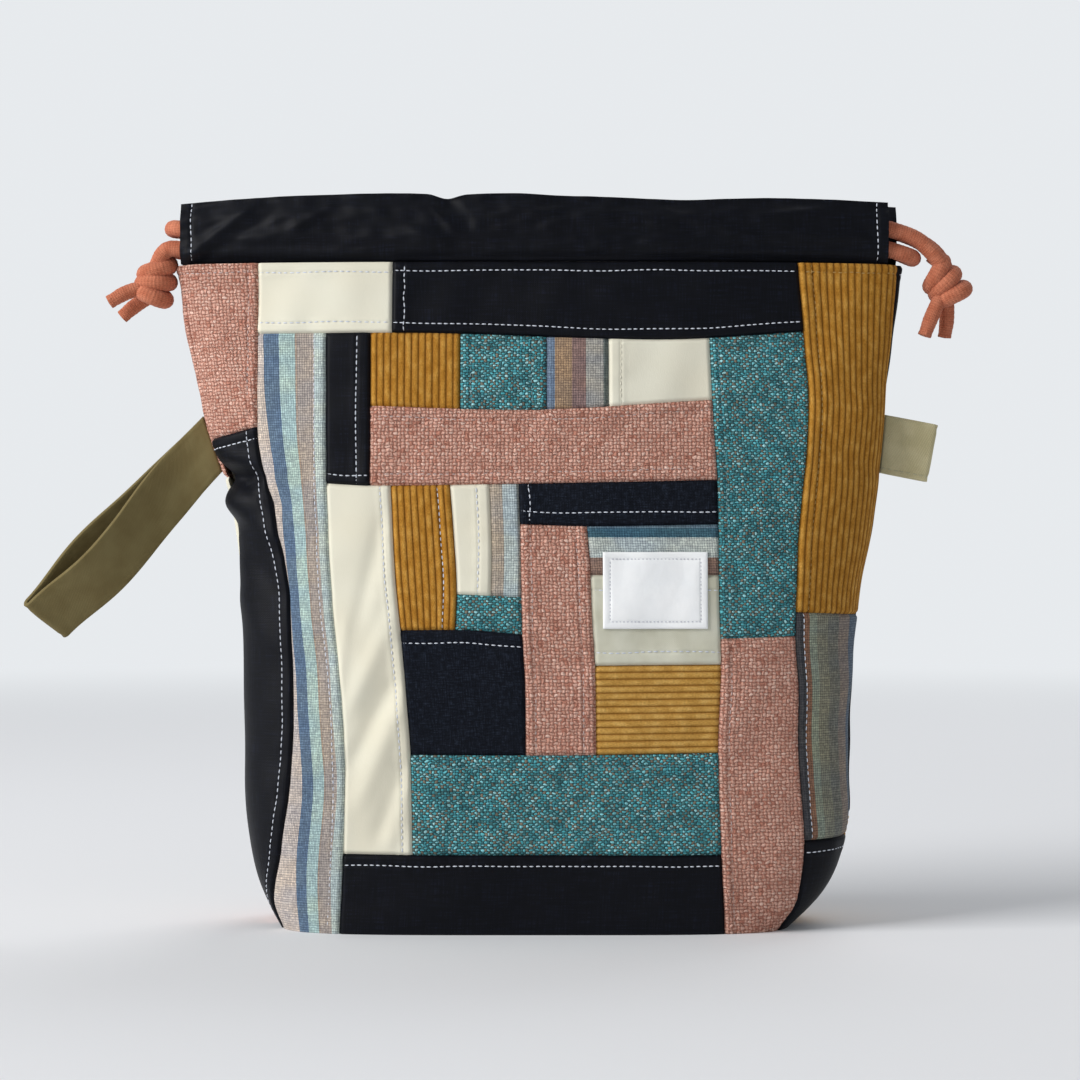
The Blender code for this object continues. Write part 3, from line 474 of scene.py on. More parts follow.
def shell(name, outer, inner, cols_in, rows_in, uv, values):
    """Closed sheet of cloth: a fine outer grid, a coarse inner one and a rim between them."""
    rows, cols = outer.shape[:2]
    rows_b, cols_b = inner.shape[:2]
    base = rows * cols
    back = outer[0, 0, 1] + outer[-1, -1, 1] > 0
    faces = grid_faces(rows, cols, 0, back) + grid_faces(rows_b, cols_b, base, not back)

    def at(r, c):
        return r * cols + c

    def at_in(r, c):
        return base + r * cols_b + c
    borders = (
        ([at(0, c) for c in range(cols)], [at_in(0, c) for c in range(cols_b)], False),
        ([at(r, cols - 1) for r in range(rows)], [at_in(r, cols_b - 1) for r in range(rows_b)], False),
        ([at(rows - 1, c) for c in range(cols)], [at_in(rows_b - 1, c) for c in range(cols_b)], True),
        ([at(r, 0) for r in range(rows)], [at_in(r, 0) for r in range(rows_b)], True))
    for a, b, turned in borders:
        for f in rim_faces(a, b):
            faces.append(f if turned != back else f[::-1])
    points = np.concatenate([outer.reshape(-1, 3), inner.reshape(-1, 3)])
    uvs = np.concatenate([uv.reshape(-1, 2), uv[np.ix_(rows_in, cols_in)].reshape(-1, 2)])
    both = {k: None if v is None else np.concatenate([v.ravel(), v[np.ix_(rows_in, cols_in)].ravel()])
            for k, v in values.items()}
    return mesh_object(name, points, faces, uvs, both)


class Weave:
    """A material in the making; each call adds a node and gives its output."""

    def __init__(self, name, roughness=0.85, sheen=0.0, sheen_rough=0.5, specular=0.3):
        self.mat = bpy.data.materials.new(name)
        self.mat.use_nodes = True
        self.tree = self.mat.node_tree
        self.shader = self.tree.nodes["Principled BSDF"]
        self.shader.inputs["Roughness"].default_value = roughness
        self.shader.inputs["Sheen Weight"].default_value = sheen
        self.shader.inputs["Sheen Roughness"].default_value = sheen_rough
        self.shader.inputs["Specular IOR Level"].default_value = specular
        uv = self.make("UVMap", uv_map="cloth")
        self.uv = self.make("VectorMath", {0: uv, 1: (1000, 1000, 1000)}, operation="MULTIPLY")

    def make(self, kind, inputs=(), out=0, **props):
        node = self.tree.nodes.new("ShaderNode" + kind)
        for key, value in props.items():
            setattr(node, key, value)
        for key, value in dict(inputs).items():
            socket = node.inputs[key]
            if isinstance(value, bpy.types.NodeSocket):
                self.tree.links.new(value, socket)
            else:
                socket.default_value = value
        return node.outputs[out]

    def math(self, op, a, b=0.0, c=0.0, clamp=False):
        return self.make("Math", {0: a, 1: b, 2: c}, operation=op, use_clamp=clamp)

    def scaled(self, x, y, shift=0.0, vector=None):
        return self.make("Mapping", {"Vector": vector or self.uv, "Scale": (x, y, 1),
                                     "Location": (shift, shift * 0.7, 0)})

    def noise(self, size_x, size_y=None, detail=2.0, rough=0.5, shift=0.0, vector=None):
        """Noise whose blots are about this many millimetres across."""
        at = self.scaled(1 / size_x, 1 / (size_y or size_x), shift, vector)
        return self.make("TexNoise", {"Vector": at, "Scale": 1.0, "Detail": detail, "Roughness": rough},
                         noise_dimensions="2D")

    def ramp(self, factor, stops, mode="LINEAR"):
        out = self.make("ValToRGB", {0: factor})
        ramp = out.node.color_ramp
        ramp.interpolation = mode
        while len(ramp.elements) < len(stops):
            ramp.elements.new(0.5)
        for element, (place, colour) in zip(ramp.elements, sorted(stops, key=lambda s: s[0])):
            element.position = place
            element.color = (*colour, 1)
        return out

    def mix(self, factor, a, b, mode="MIX"):
        node = self.make("Mix", data_type="RGBA", blend_type=mode, out=2).node
        for key, value in ((0, factor), (6, a), (7, b)):
            if isinstance(value, bpy.types.NodeSocket):
                self.tree.links.new(value, node.inputs[key])
            else:
                node.inputs[key].default_value = (*value, 1) if isinstance(value, tuple) else value
        return node.outputs[2]

    def parts(self, vector=None):
        """Across and up in millimetres."""
        return self.make("SeparateXYZ", {0: vector or self.uv}).node.outputs[:2]

    def wander(self, amount, size):
        """The cloth's own coordinates, drawn askew by up to this many millimetres."""
        push = self.make("TexNoise", {"Vector": self.scaled(1 / size, 1 / size), "Scale": 1.0,
                                      "Detail": 1.0}, 1, noise_dimensions="2D")
        push = self.make("VectorMath", {0: push, 1: (0.5, 0.5, 0.5)}, operation="SUBTRACT")
        push = self.make("VectorMath", {0: push, 1: (2 * amount, 2 * amount, 0)}, operation="MULTIPLY")
        return self.make("VectorMath", {0: self.uv, 1: push}, operation="ADD")

    def grid(self, pitch_x, pitch_y, vector=None):
        """Plain weave: over and under threads as a checker of soft bumps, from 0 to 1."""
        x, y = self.parts(vector)
        x = self.math("SINE", self.math("MULTIPLY", x, math.pi / pitch_x))
        y = self.math("SINE", self.math("MULTIPLY", y, math.pi / pitch_y))
        return self.math("MULTIPLY_ADD", self.math("MULTIPLY", x, y), 0.5, 0.5)

    def crossings(self, pitch_x, pitch_y, vector):
        """Weave of thick yarns: dome of each crossing, random numbers for it, and 1 for warp on top."""
        x, y = self.parts(vector)
        x, y = self.math("DIVIDE", x, pitch_x), self.math("DIVIDE", y, pitch_y)
        i, j = self.math("FLOOR", x), self.math("FLOOR", y)
        over = self.math("MODULO", self.math("ADD", self.math("ADD", i, j), 4000.0), 2.0)
        under = self.math("SUBTRACT", 1.0, over)
        fx = self.math("SUBTRACT", self.math("FRACT", x), 0.5)
        fy = self.math("SUBTRACT", self.math("FRACT", y), 0.5)
        wide = self.math("MULTIPLY_ADD", over, 0.20, 0.44)
        tall = self.math("MULTIPLY_ADD", under, 0.20, 0.44)
        a, b = self.math("DIVIDE", fx, wide), self.math("DIVIDE", fy, tall)
        round_off = self.math("ADD", self.math("MULTIPLY", a, a), self.math("MULTIPLY", b, b))
        dome = self.math("SQRT", self.math("MAXIMUM", self.math("SUBTRACT", 1.0, round_off), 0.0))
        cell = self.make("CombineXYZ", {0: i, 1: j})
        random = self.make("TexWhiteNoise", {"Vector": cell}, 1, noise_dimensions="2D")
        return dome, self.make("SeparateColor", {0: random}).node.outputs, over

    def colour(self, source):
        self.tree.links.new(source, self.shader.inputs["Base Color"])

    def bump(self, height, depth, strength=1.0):
        """Bump of a height from 0 to 1 that stands for this many millimetres."""
        out = self.make("Bump", {"Height": height, "Strength": strength, "Distance": depth * MM})
        before = self.shader.inputs["Normal"].links
        if before:
            self.tree.links.new(before[0].from_socket, out.node.inputs["Normal"])
        self.tree.links.new(out, self.shader.inputs["Normal"])


def srgb(r, g, b):
    """Scene colour of a colour written as 0 to 255."""
    def channel(c):
        c /= 255
        return c / 12.92 if c <= 0.04045 else ((c + 0.055) / 1.055) ** 2.4
    return tuple(channel(c) for c in (r, g, b))


def shade(colour, factor):
    return tuple(c * factor for c in colour)


def black_cotton(w, patch):
    thread = w.noise(0.6, 11.0, 3)
    weft = w.noise(11.0, 0.6, 3, shift=3.0)
    both = w.math("MULTIPLY", thread, weft)
    w.colour(w.ramp(both, [(0.12, srgb(5, 7, 13)), (0.3, srgb(8, 10, 18)), (0.48, srgb(20, 24, 37))]))
    w.bump(w.grid(0.42, 0.42), 0.05)
    w.bump(both, 0.14)


def linen_black(w, patch):
    thread = w.noise(0.5, 3.6, 3)
    weft = w.noise(3.2, 0.5, 3, shift=3.0)
    both = w.math("MULTIPLY", thread, weft)
    w.colour(w.ramp(both, [(0.1, srgb(10, 13, 20)), (0.27, srgb(18, 22, 31)), (0.5, srgb(40, 47, 60))]))
    w.bump(w.grid(0.6, 0.6), 0.08)
    w.bump(both, 0.25)


def cream_cotton(w, patch):
    blot = w.noise(32, 32, 1)
    w.colour(w.ramp(blot, [(0.3, srgb(222, 217, 197)), (0.7, srgb(227, 224, 206))]))
    w.bump(w.noise(0.35, 1.6, 2), 0.04)
    w.bump(w.grid(0.3, 0.3), 0.02)


def khaki_canvas(w, patch):
    blot = w.noise(14, 14, 3)
    w.colour(w.ramp(blot, [(0.3, srgb(194, 192, 172)), (0.7, srgb(212, 211, 194))]))
    w.bump(w.grid(0.42, 0.42), 0.06)
    w.bump(w.noise(0.5, 4, 2), 0.05)


def tweed(w, pitch, hollow_shade, warp, weft, fleck, fleck_share, depth, dark_blots):
    """Coarse plain weave of lumpy yarn, each crossing of yarns a dome with its own tone, with painted shade
    in the hollows between the domes.
    """
    moved = w.wander(0.7, 2.8)
    dome, random, over = w.crossings(pitch * 1.08, pitch * 0.94, moved)
    yarn = w.mix(over, w.ramp(random[0], weft), w.ramp(random[0], warp))
    yarn = w.mix(w.math("LESS_THAN", random[1], fleck_share), yarn, fleck)
    blots = w.ramp(w.noise(8, 8, 3, 0.6), [(0.38, dark_blots), (0.60, (1.04, 1.04, 1.04))])
    yarn = w.mix(1.0, yarn, blots, "MULTIPLY")
    fuzz_height = w.noise(0.34, 0.34, 3, 0.75)
    fuzz = w.ramp(fuzz_height, [(0.3, (0.72, 0.72, 0.72)), (0.7, (1.26, 1.26, 1.26))])
    # Painted shade: where the domes drop away, the hollows take the darker hollow colour
    filled = w.ramp(w.math("MULTIPLY_ADD", fuzz_height, 0.5, w.math("SUBTRACT", dome, 0.25)),
                    [(0.10, (0, 0, 0)), (0.55, (1, 1, 1))])
    w.colour(w.mix(1.0, w.mix(filled, hollow_shade, yarn), fuzz, "MULTIPLY"))
    w.bump(dome, depth)
    w.bump(fuzz_height, 0.2)
    w.bump(w.noise(2.2, 2.2, 2), 0.5)


def pink_tweed(w, patch):
    # The first colour is the painted shade of the hollows between yarns
    tweed(w, 1.42, srgb(172, 112, 94),
          [(0.0, srgb(223, 172, 153)), (0.7, srgb(234, 188, 170)), (1.0, srgb(244, 206, 189))],
          [(0.0, srgb(214, 158, 138)), (0.8, srgb(227, 175, 156)), (1.0, srgb(237, 192, 173))],
          srgb(201, 140, 120), 0.06, 1.0, (0.88, 0.84, 0.83))


def teal_tweed(w, patch):
    # The first colour is the painted shade of the hollows between yarns
    tweed(w, 1.06, srgb(36, 70, 73),
          [(0.0, srgb(76, 170, 181)), (0.6, srgb(112, 208, 219)), (1.0, srgb(180, 238, 243))],
          [(0.0, srgb(52, 112, 119)), (0.5, srgb(80, 130, 130)), (0.68, srgb(120, 119, 105)),
           (1.0, srgb(143, 129, 110))],
          srgb(70, 152, 163), 0.1, 0.6, (0.66, 0.68, 0.69))


def mustard_corduroy(w, patch):
    wale = w.make("Attribute", attribute_name="wale", out=2)
    upright = patch is None or patch.wales == "upright"
    nap = w.noise(*((0.4, 0.8) if upright else (0.8, 0.4)), 3, 0.65)
    blot = w.noise(*((3.4, 5) if upright else (5, 3.4)), 3, 0.55)
    tones = (((172, 119, 42), (186, 133, 53), (203, 153, 73)) if upright
             else ((187, 142, 70), (200, 155, 80), (214, 172, 98)))
    crest = w.ramp(blot, [(place, srgb(*c)) for place, c in zip((0.3, 0.5, 0.72), tones)])
    # Grooves: the ground weave's own darker colour, with painted shade in them
    groove = srgb(118, 75, 21) if upright else srgb(139, 95, 36)
    mixed = w.mix(w.math("POWER", wale, 2.2), groove, crest)
    rub = w.ramp(nap, [(0.3, (0.76, 0.74, 0.70)), (0.7, (1.2, 1.2, 1.2))])
    w.colour(w.mix(1.0, mixed, rub, "MULTIPLY"))
    w.bump(nap, 0.2)
    w.bump(blot, 0.25)


# Bands of the striped cotton: the width they fill in mm, then each band's start and colour, and
# whether they are measured from the left seam, the right seam or the top
STRIPES = {
    "front_stripe_left_strip": (30, "right", [
        (0, (178, 190, 184)), (4.9, (162, 151, 141)), (11.6, (158, 140, 124)), (12.3, (163, 185, 180)),
        (18.6, (93, 113, 134)), (24.9, (186, 175, 166))]),
    "front_stripe_upper_block": (25, "left", [
        (0, (105, 121, 139)), (3.2, (151, 126, 101)), (9.8, (131, 107, 101)), (15.2, (151, 149, 143)),
        (21.9, (93, 101, 98))]),
    "front_stripe_centre_strip": (12.5, "left", [
        (0, (163, 151, 136)), (4.8, (170, 181, 179)), (10.4, (148, 151, 143))]),
    "front_stripe_label_band": (20, "top", [
        (0, (92, 114, 127)), (1.0, (58, 91, 106)), (4.6, (172, 181, 178)), (12.2, (133, 109, 97))]),
    "front_stripe_right_panel": (40, "left", [
        (0, (62, 62, 64)), (3.0, (130, 96, 76)), (5.6, (134, 141, 124)), (9.0, (125, 124, 108)),
        (14.2, (112, 112, 103)), (20.0, (130, 119, 109)), (27.0, (90, 102, 113))]),
    "back_stripe_panel": (66, "left", [(22 * k + x, c) for k in range(3) for x, c in (
        (0, (166, 180, 177)), (5, (150, 142, 134)), (11.5, (150, 174, 173)), (17, (86, 106, 128)))]),
}


def stripe_cotton(w, patch):
    width, origin, bands = STRIPES[patch.name]
    moved = w.wander(0.25, 2.2)
    x, y = w.parts(w.wander(0.12, 0.7))
    place = w.math("SUBTRACT", float(patch.top(0.045)) / MM, y) if origin == "top" else x
    stops = [(b / width, srgb(*c)) for b, c in bands]
    colour = w.ramp(w.math("DIVIDE", place, width, clamp=True), stops, "CONSTANT")
    drift = w.ramp(w.noise(20, 12, 2), [(0.35, (0.92, 0.94, 1.0)), (0.65, (1.06, 1.02, 0.97))])
    colour = w.mix(1.0, colour, drift, "MULTIPLY")
    dome, random, _ = w.crossings(0.95, 0.95, moved)
    # Painted shade and highlight: each crossing darker at its foot and lighter on its top
    cell = w.ramp(dome, [(0.0, (0.6, 0.62, 0.66)), (0.5, (1.1, 1.1, 1.1)), (1.0, (1.36, 1.36, 1.35))])
    thread = w.ramp(random[0], [(0.0, (0.80, 0.80, 0.82)), (1.0, (1.18, 1.18, 1.16))])
    slub = w.math("MULTIPLY", w.noise(0.4, 7, 2, 0.6), w.noise(7, 0.4, 2, 0.6, 4.0))
    run = w.ramp(slub, [(0.13, (0.78, 0.79, 0.82)), (0.4, (1.2, 1.2, 1.18))])
    colour = w.mix(1.0, w.mix(1.0, colour, cell, "MULTIPLY"), thread, "MULTIPLY")
    w.colour(w.mix(1.0, colour, run, "MULTIPLY"))
    w.bump(dome, 0.1)
    w.bump(slub, 0.12)


def lining_cotton(w, patch):
    w.colour(w.ramp(w.noise(18, 18, 2), [(0.3, srgb(196, 190, 172)), (0.7, srgb(208, 203, 187))]))
    w.bump(w.grid(0.4, 0.4), 0.04)


def olive_twill(w, patch, low=(189, 179, 139), high=(205, 195, 156), rib=1.0):
    x, y = w.parts()
    slant = w.math("SINE", w.math("MULTIPLY", w.math("ADD", x, w.math("MULTIPLY", y, 1.6)),
                                  2 * math.pi / 1.15))
    twill = w.math("MULTIPLY_ADD", slant, 0.5, 0.5)
    base = w.ramp(w.noise(10, 10, 2), [(0.3, srgb(*low)), (0.7, srgb(*high))])
    # Painted shade in the twill's troughs and a faint painted highlight on its ribs
    rib_shading = w.ramp(twill, [(0, (1 - 0.1 * rib,) * 3), (1, (1 + 0.05 * rib,) * 3)])
    w.colour(w.mix(1.0, base, rib_shading, "MULTIPLY"))
    w.bump(twill, 0.09 * rib)
    w.bump(w.noise(0.4, 0.4, 2), 0.04)


def olive_twill_worn(w, patch):
    """The strap's twill: the tape's own cloth, darker and browner with painted shade, its ribs fainter."""
    olive_twill(w, patch, (114, 101, 66), (123, 111, 75), 0.3)


def terracotta_cord(w, patch):
    run, cosine, sine = (w.make("Attribute", attribute_name=n, out=2)
                         for n in ("run_mm", "turn_cosine", "turn_sine"))
    lanes = w.math("MULTIPLY", w.math("ARCTAN2", sine, cosine), 14.0)
    rows = w.math("MULTIPLY", run, 2 * math.pi / 1.9)
    rising = w.math("SINE", w.math("ADD", lanes, rows))
    falling = w.math("SINE", w.math("SUBTRACT", lanes, rows))
    loops = w.math("MULTIPLY_ADD", w.math("MULTIPLY", rising, falling), 0.5, 0.5)
    blot = w.ramp(w.noise(4, 4, 2), [(0.3, srgb(186, 107, 78)), (0.7, srgb(205, 127, 97))])
    # Painted shade in the pits between knitted loops, a faint painted highlight on their tops
    knit_shading = w.ramp(loops, [(0.0, (0.78, 0.74, 0.72)), (0.6, (1, 1, 1)), (1.0, (1.08, 1.08, 1.08))])
    fuzz = w.ramp(w.noise(0.3, 0.3, 3, 0.7), [(0.3, (0.8, 0.8, 0.8)), (0.7, (1.16, 1.16, 1.16))])
    w.colour(w.mix(1.0, w.mix(1.0, blot, knit_shading, "MULTIPLY"), fuzz, "MULTIPLY"))
    w.bump(loops, 0.16)
    w.bump(w.noise(0.4, 0.4, 3, 0.7), 0.16)


def white_tape(w, patch):
    w.colour(w.ramp(w.noise(12, 12, 2), [(0.3, srgb(243, 245, 246)), (0.7, srgb(249, 250, 250))]))
    w.bump(w.grid(0.32, 0.2), 0.03)
    w.bump(w.noise(6, 6, 2), 0.2)


FABRICS = {
    "black_cotton": dict(paint=black_cotton, loft=0.3, step=1.2, sheen=0.015, gloss=0.12, rough=0.5),
    "linen_black": dict(paint=linen_black, loft=0.4, step=1.2, sheen=0.015, gloss=0.07, rough=0.7),
    "pink_tweed": dict(paint=pink_tweed, loft=1.0, step=0.9, sheen=0.05, gloss=0.15, rough=0.9),
    "teal_tweed": dict(paint=teal_tweed, loft=0.9, step=0.9, sheen=0.05, gloss=0.25, rough=0.75),
    "cream_cotton": dict(paint=cream_cotton, loft=0.2, step=0.9, sheen=0.05, gloss=0.2, rough=0.85),
    "khaki_canvas": dict(paint=khaki_canvas, loft=0.3, step=1.1, sheen=0.05, gloss=0.2, rough=0.85),
    "mustard_corduroy": dict(paint=mustard_corduroy, loft=1.0, step=1.0, sheen=0.04, gloss=0.1, rough=0.9),
    "stripe_cotton": dict(paint=stripe_cotton, loft=0.4, step=1.0, sheen=0.04, gloss=0.2, rough=0.85),
    "lining_cotton": dict(paint=lining_cotton, loft=0.2, step=3.0, sheen=0.05, gloss=0.2, rough=0.85),
    "olive_twill": dict(paint=olive_twill, loft=0.3, step=1.0, sheen=0.05, gloss=0.15, rough=0.85),
    # The strap's twill, darker and browner with painted shade
    "olive_twill_worn": dict(paint=olive_twill_worn, loft=0.3, step=1.0, sheen=0.03, gloss=0.1, rough=0.9),
    "terracotta_cord": dict(paint=terracotta_cord, loft=0.5, step=1.0, sheen=0.1, gloss=0.15, rough=0.9),
    "white_tape": dict(paint=white_tape, loft=0.2, step=0.8, sheen=0.05, gloss=0.3, rough=0.6),
}
# Cloths that share a slot with another
made_materials = {}


def material(fabric, patch=None):
    own = fabric == "stripe_cotton"
    key = (fabric, patch.name if own else (patch.wales if fabric == "mustard_corduroy" and patch else ""))
    if key not in made_materials:
        spec = FABRICS[fabric]
        weave = Weave("_".join(k for k in key if k), spec["rough"], spec["sheen"], 0.5, spec["gloss"])
        spec["paint"](weave, patch)
        made_materials[key] = weave.mat
    return made_materials[key]


def dress(obj, fabric, node, patch=None):
    """Material, body, slot and the node that the piece stands for."""
    obj.data.materials.append(material(fabric, patch))
    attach(obj, "root")
    if node:
        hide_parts(node)
    return obj


# Camera at the height of the bag's middle, level, as in the photograph
camera = bpy.data.objects.new("camera", bpy.data.cameras.new("camera"))
camera.data.sensor_width = 36
camera.data.lens = 97.0
camera.location = (0, -1.150, 0.1505)
camera.rotation_euler = (math.radians(90), 0, 0)
bpy.context.scene.collection.objects.link(camera)
bpy.context.scene.camera = camera


def casing_out(x, rise):
    bow = 1 - (x / CASING_HALF) ** 2
    return CASING_END_OUT + (CASING_MID_OUT - CASING_END_OUT - CASING_LEAN * rise / CASING_HEIGHT) * bow


def casing_half_thickness(rise):
    swell = smooth(rise / (5 * MM)) * smooth((CASING_HEIGHT - rise) / (8 * MM))
    return CASING_EDGE + (CASING_BULGE - CASING_EDGE) * swell


def casing_height(x):
    return 1 - CASING_DROOP / CASING_HEIGHT * np.abs(x / CASING_HALF) ** 3


def channel(side, ends, rise, count=13):
    """Route points of a cord inside a casing, from its left end to its right end."""
    points = []
    for i in range(count + 1):
        x = ends[0] + (ends[1] - ends[0]) * (0.5 - 0.5 * math.cos(math.pi * i / count))
        points.append((x, side * casing_out(x, rise), BODY_TOP + GAP + rise * float(casing_height(x))))
    return points


def mm_points(*triples):
    return [tuple(c * MM for c in t) for t in triples]


def smooth_path(route, step=0.5 * MM):
    """Even points on a smooth curve through a route."""
    r = np.array(route, float)
    full = np.vstack([2 * r[0] - r[1], r, 2 * r[-1] - r[-2]])
    t = np.linspace(0, 1, 24, endpoint=False)[:, None]
    dense = []
    for a, b, c, d in zip(full, full[1:], full[2:], full[3:]):
        dense.append(0.5 * (2 * b + (c - a) * t + (2 * a - 5 * b + 4 * c - d) * t * t
                            + (3 * b - a - 3 * c + d) * t ** 3))
    dense = np.vstack(dense + [r[-1:]])
    run = np.concatenate(([0], np.cumsum(np.linalg.norm(np.diff(dense, axis=0), axis=1))))
    marks = np.linspace(0, run[-1], max(4, int(run[-1] / step)))
    return np.stack([np.interp(marks, run, dense[:, k]) for k in range(3)], -1)


def soften(path, step, reach):
    """The path with its tight turns evened out over this reach. Its ends stay."""
    n = int(3 * reach / step)
    kernel = np.exp(-0.5 * (np.arange(-n, n + 1) * step / reach) ** 2)
    full = np.vstack([2 * path[0] - path[n:0:-1], path, 2 * path[-1] - path[-2:-n - 2:-1]])
    return np.stack([np.convolve(full[:, k], kernel / kernel.sum(), "valid") for k in range(3)], -1)


def frames_along(path):
    """Tangent and two cross directions that turn as little as possible."""
    tangent = np.gradient(path, axis=0)
    tangent /= np.linalg.norm(tangent, axis=1, keepdims=True)
    across = np.zeros_like(path)
    first = np.cross(tangent[0], (0, 1, 0.01))
    across[0] = first / np.linalg.norm(first)
    for i in range(1, len(path)):
        v = across[i - 1] - tangent[i] * np.dot(across[i - 1], tangent[i])
        across[i] = v / np.linalg.norm(v)
    return tangent, across, np.cross(tangent, across)


def knit(turn, run):
    """Small crossing ribs of a knitted cord, from 0 to 1, against angle and distance along it."""
    lane = 7
    a = np.sin(lane * turn + 2 * math.pi * run / (3.8 * MM))
    b = np.sin(lane * turn - 2 * math.pi * run / (3.8 * MM))
    return 0.5 + 0.5 * a * b


def tube(path, radius, sides=42, relief=0.2 * MM, start=0, fray=0.0, ends=True):
    """Points, faces, uvs and place on the cord along a path, with closed soft ends."""
    tangent, across, other = frames_along(path)
    run = np.concatenate(([0], np.cumsum(np.linalg.norm(np.diff(path, axis=0), axis=1))))
    turn = np.arange(sides) * 2 * math.pi / sides
    ring_turn, ring_run = np.meshgrid(turn, run)
    pattern = knit(ring_turn, ring_run)
    radii = np.broadcast_to(np.asarray(radius, float), run.shape)[:, None]
    r = radii + relief * (pattern - 0.5)
    draw = np.random.default_rng(len(path))
    if fray:
        last = smooth((run - run[-1] + 3 * MM) / (3 * MM))[:, None]
        r = r * (1 + fray * last * draw.uniform(-0.5, 1.0, (1, sides)))
    points = (path[:, None] + across[:, None] * (r * np.cos(ring_turn))[..., None]
              + other[:, None] * (r * np.sin(ring_turn))[..., None])
    faces = grid_faces(len(path), sides, start, wrap=True)
    flat = points.reshape(-1, 3)
    uv = np.stack([ring_turn * radii, ring_run], -1).reshape(-1, 2)
    value = np.stack([ring_run / MM, np.cos(ring_turn), np.sin(ring_turn)], -1).reshape(-1, 3)
    if ends:
        flat = np.vstack([flat, path[0] - tangent[0] * 0.4 * MM, path[-1] + tangent[-1] * 0.3 * MM])
        uv = np.vstack([uv, [[0, 0], [0, run[-1]]]])
        value = np.vstack([value, [[0, 1, 0], [run[-1] / MM, 1, 0]]])
        a, b, total = start + len(flat) - 2, start + len(flat) - 1, start + (len(path) - 1) * sides
        for k in range(sides):
            m = (k + 1) % sides
            faces.append((a, start + m, start + k))
            faces.append((b, total + k, total + m))
    return flat, faces, uv, value


def cord_mesh(name, points, faces, uvs, values):
    return mesh_object(name, points, faces, uvs,
                       dict(zip(("run_mm", "turn_cosine", "turn_sine"), values.T)))


def join_tubes(name, parts):
    points, faces, uvs, values, count = [], [], [], [], 0
    for path, radius, options in parts:
        p, f, uv, v = tube(path, radius, start=count, **options)
        points.append(p)
        faces += f
        uvs.append(uv)
        values.append(v)
        count += len(p)
    return cord_mesh(name, np.vstack(points), faces, np.vstack(uvs), np.vstack(values))


def cord_steps(path):
    """Thin the hidden stretch of a cord inside its casing."""
    keep, last = [0], 0.0
    run = np.concatenate(([0], np.cumsum(np.linalg.norm(np.diff(path, axis=0), axis=1))))
    for i in range(1, len(path)):
        hidden = -137 * MM < path[i][0] < 132 * MM
        if run[i] - last >= (4.0 * MM if hidden else 0.45 * MM) or i == len(path) - 1:
            keep.append(i)
            last = run[i]
    return path[keep]


front_upper, back_upper = (channel(s, e, UPPER_CORD) for s, e in ((FRONT, FRONT_CASING_ENDS),
                                                                   (BACK, BACK_CASING_ENDS)))
front_lower, back_lower = (channel(s, e, LOWER_CORD) for s, e in ((FRONT, FRONT_CASING_ENDS),
                                                                   (BACK, BACK_CASING_ENDS)))
right_route = (mm_points((157.6, -3.9, 259.6), (154.2, -4.4, 263.8), (147.6, -5.0, 269.2))
               + front_upper[::-1]
               + mm_points((-143.9, -3.9, 273.4), (-145.3, 0, 273.2), (-143.2, 4.4, 273.2)) + back_upper
               + mm_points((149, 5.0, 269.8), (156.2, 4.4, 265), (160.0, 3.9, 259.6)))
left_route = (mm_points((-149.4, -3.8, 261.9), (-146.4, -4.8, 265.2)) + front_lower
              + mm_points((142.6, -6.0, 263.0), (146.6, -3.6, 261.9), (147.4, 0, 261.6),
                          (146.2, 3.6, 262.4))
              + back_lower[::-1]
              + mm_points((-142.6, 6.0, 265), (-147.2, 4.9, 265.6), (-150.2, 3.8, 261.9)))


# Wraps of a knot: their radius, their height in all, and how far the end wraps lean to one side
KNOT_RADIUS, KNOT_RISE, KNOT_LEAN = 5.0 * MM, 15.2 * MM, 2.4 * MM


def helix(centre, axis, radius, rise, turns, start_turn, flat=1.0, count=90):
    """Wraps of cord about an axis, as route points."""
    axis = np.array(axis, float)
    axis /= np.linalg.norm(axis)
    front = np.array((0, -1.0, 0))
    front = front - axis * np.dot(front, axis)
    front /= np.linalg.norm(front)
    side = np.cross(axis, front)
    t = np.linspace(0, turns, count)
    a = (t + start_turn) * 2 * math.pi
    tucked = radius * (0.2 + 0.8 * smooth(t / 0.3) * smooth((turns - t) / 0.3))[:, None]
    climb = (t / turns - 0.5) * (rise + 2 * KNOT_LEAN * np.sin(a))
    return (np.array(centre) + np.cos(a)[:, None] * front * tucked * flat
            + np.sin(a)[:, None] * side * tucked + climb[:, None] * axis)


def knot(name, centre, axis, tails, entries):
    """Overhand knot of two cord ends: wrapped turns round both strands, and two cut tails."""
    centre = np.array(centre) * MM
    parts = []
    turns = helix(centre, axis, KNOT_RADIUS, KNOT_RISE, 2.8, -0.4, 0.92)
    parts.append((smooth_path(turns, 0.6 * MM), 3.4 * MM, {}))
    for route in entries:
        path = smooth_path(mm_points(*route), 0.5 * MM)
        parts.append((path, np.interp(np.linspace(0, 1, len(path)), (0, 0.35, 1), (3.0, 3.2, 3.2)) * MM, {}))
    for route in tails:
        path = smooth_path(mm_points(*route), 0.5 * MM)
        shrink = np.interp(np.linspace(0, 1, len(path)), (0, 0.7, 1), (2.9, 2.9, 2.45)) * MM
        parts.append((path, shrink, dict(fray=0.16)))
    obj = join_tubes(name + "_tied", parts)
    return dress(obj, "terracotta_cord", name)


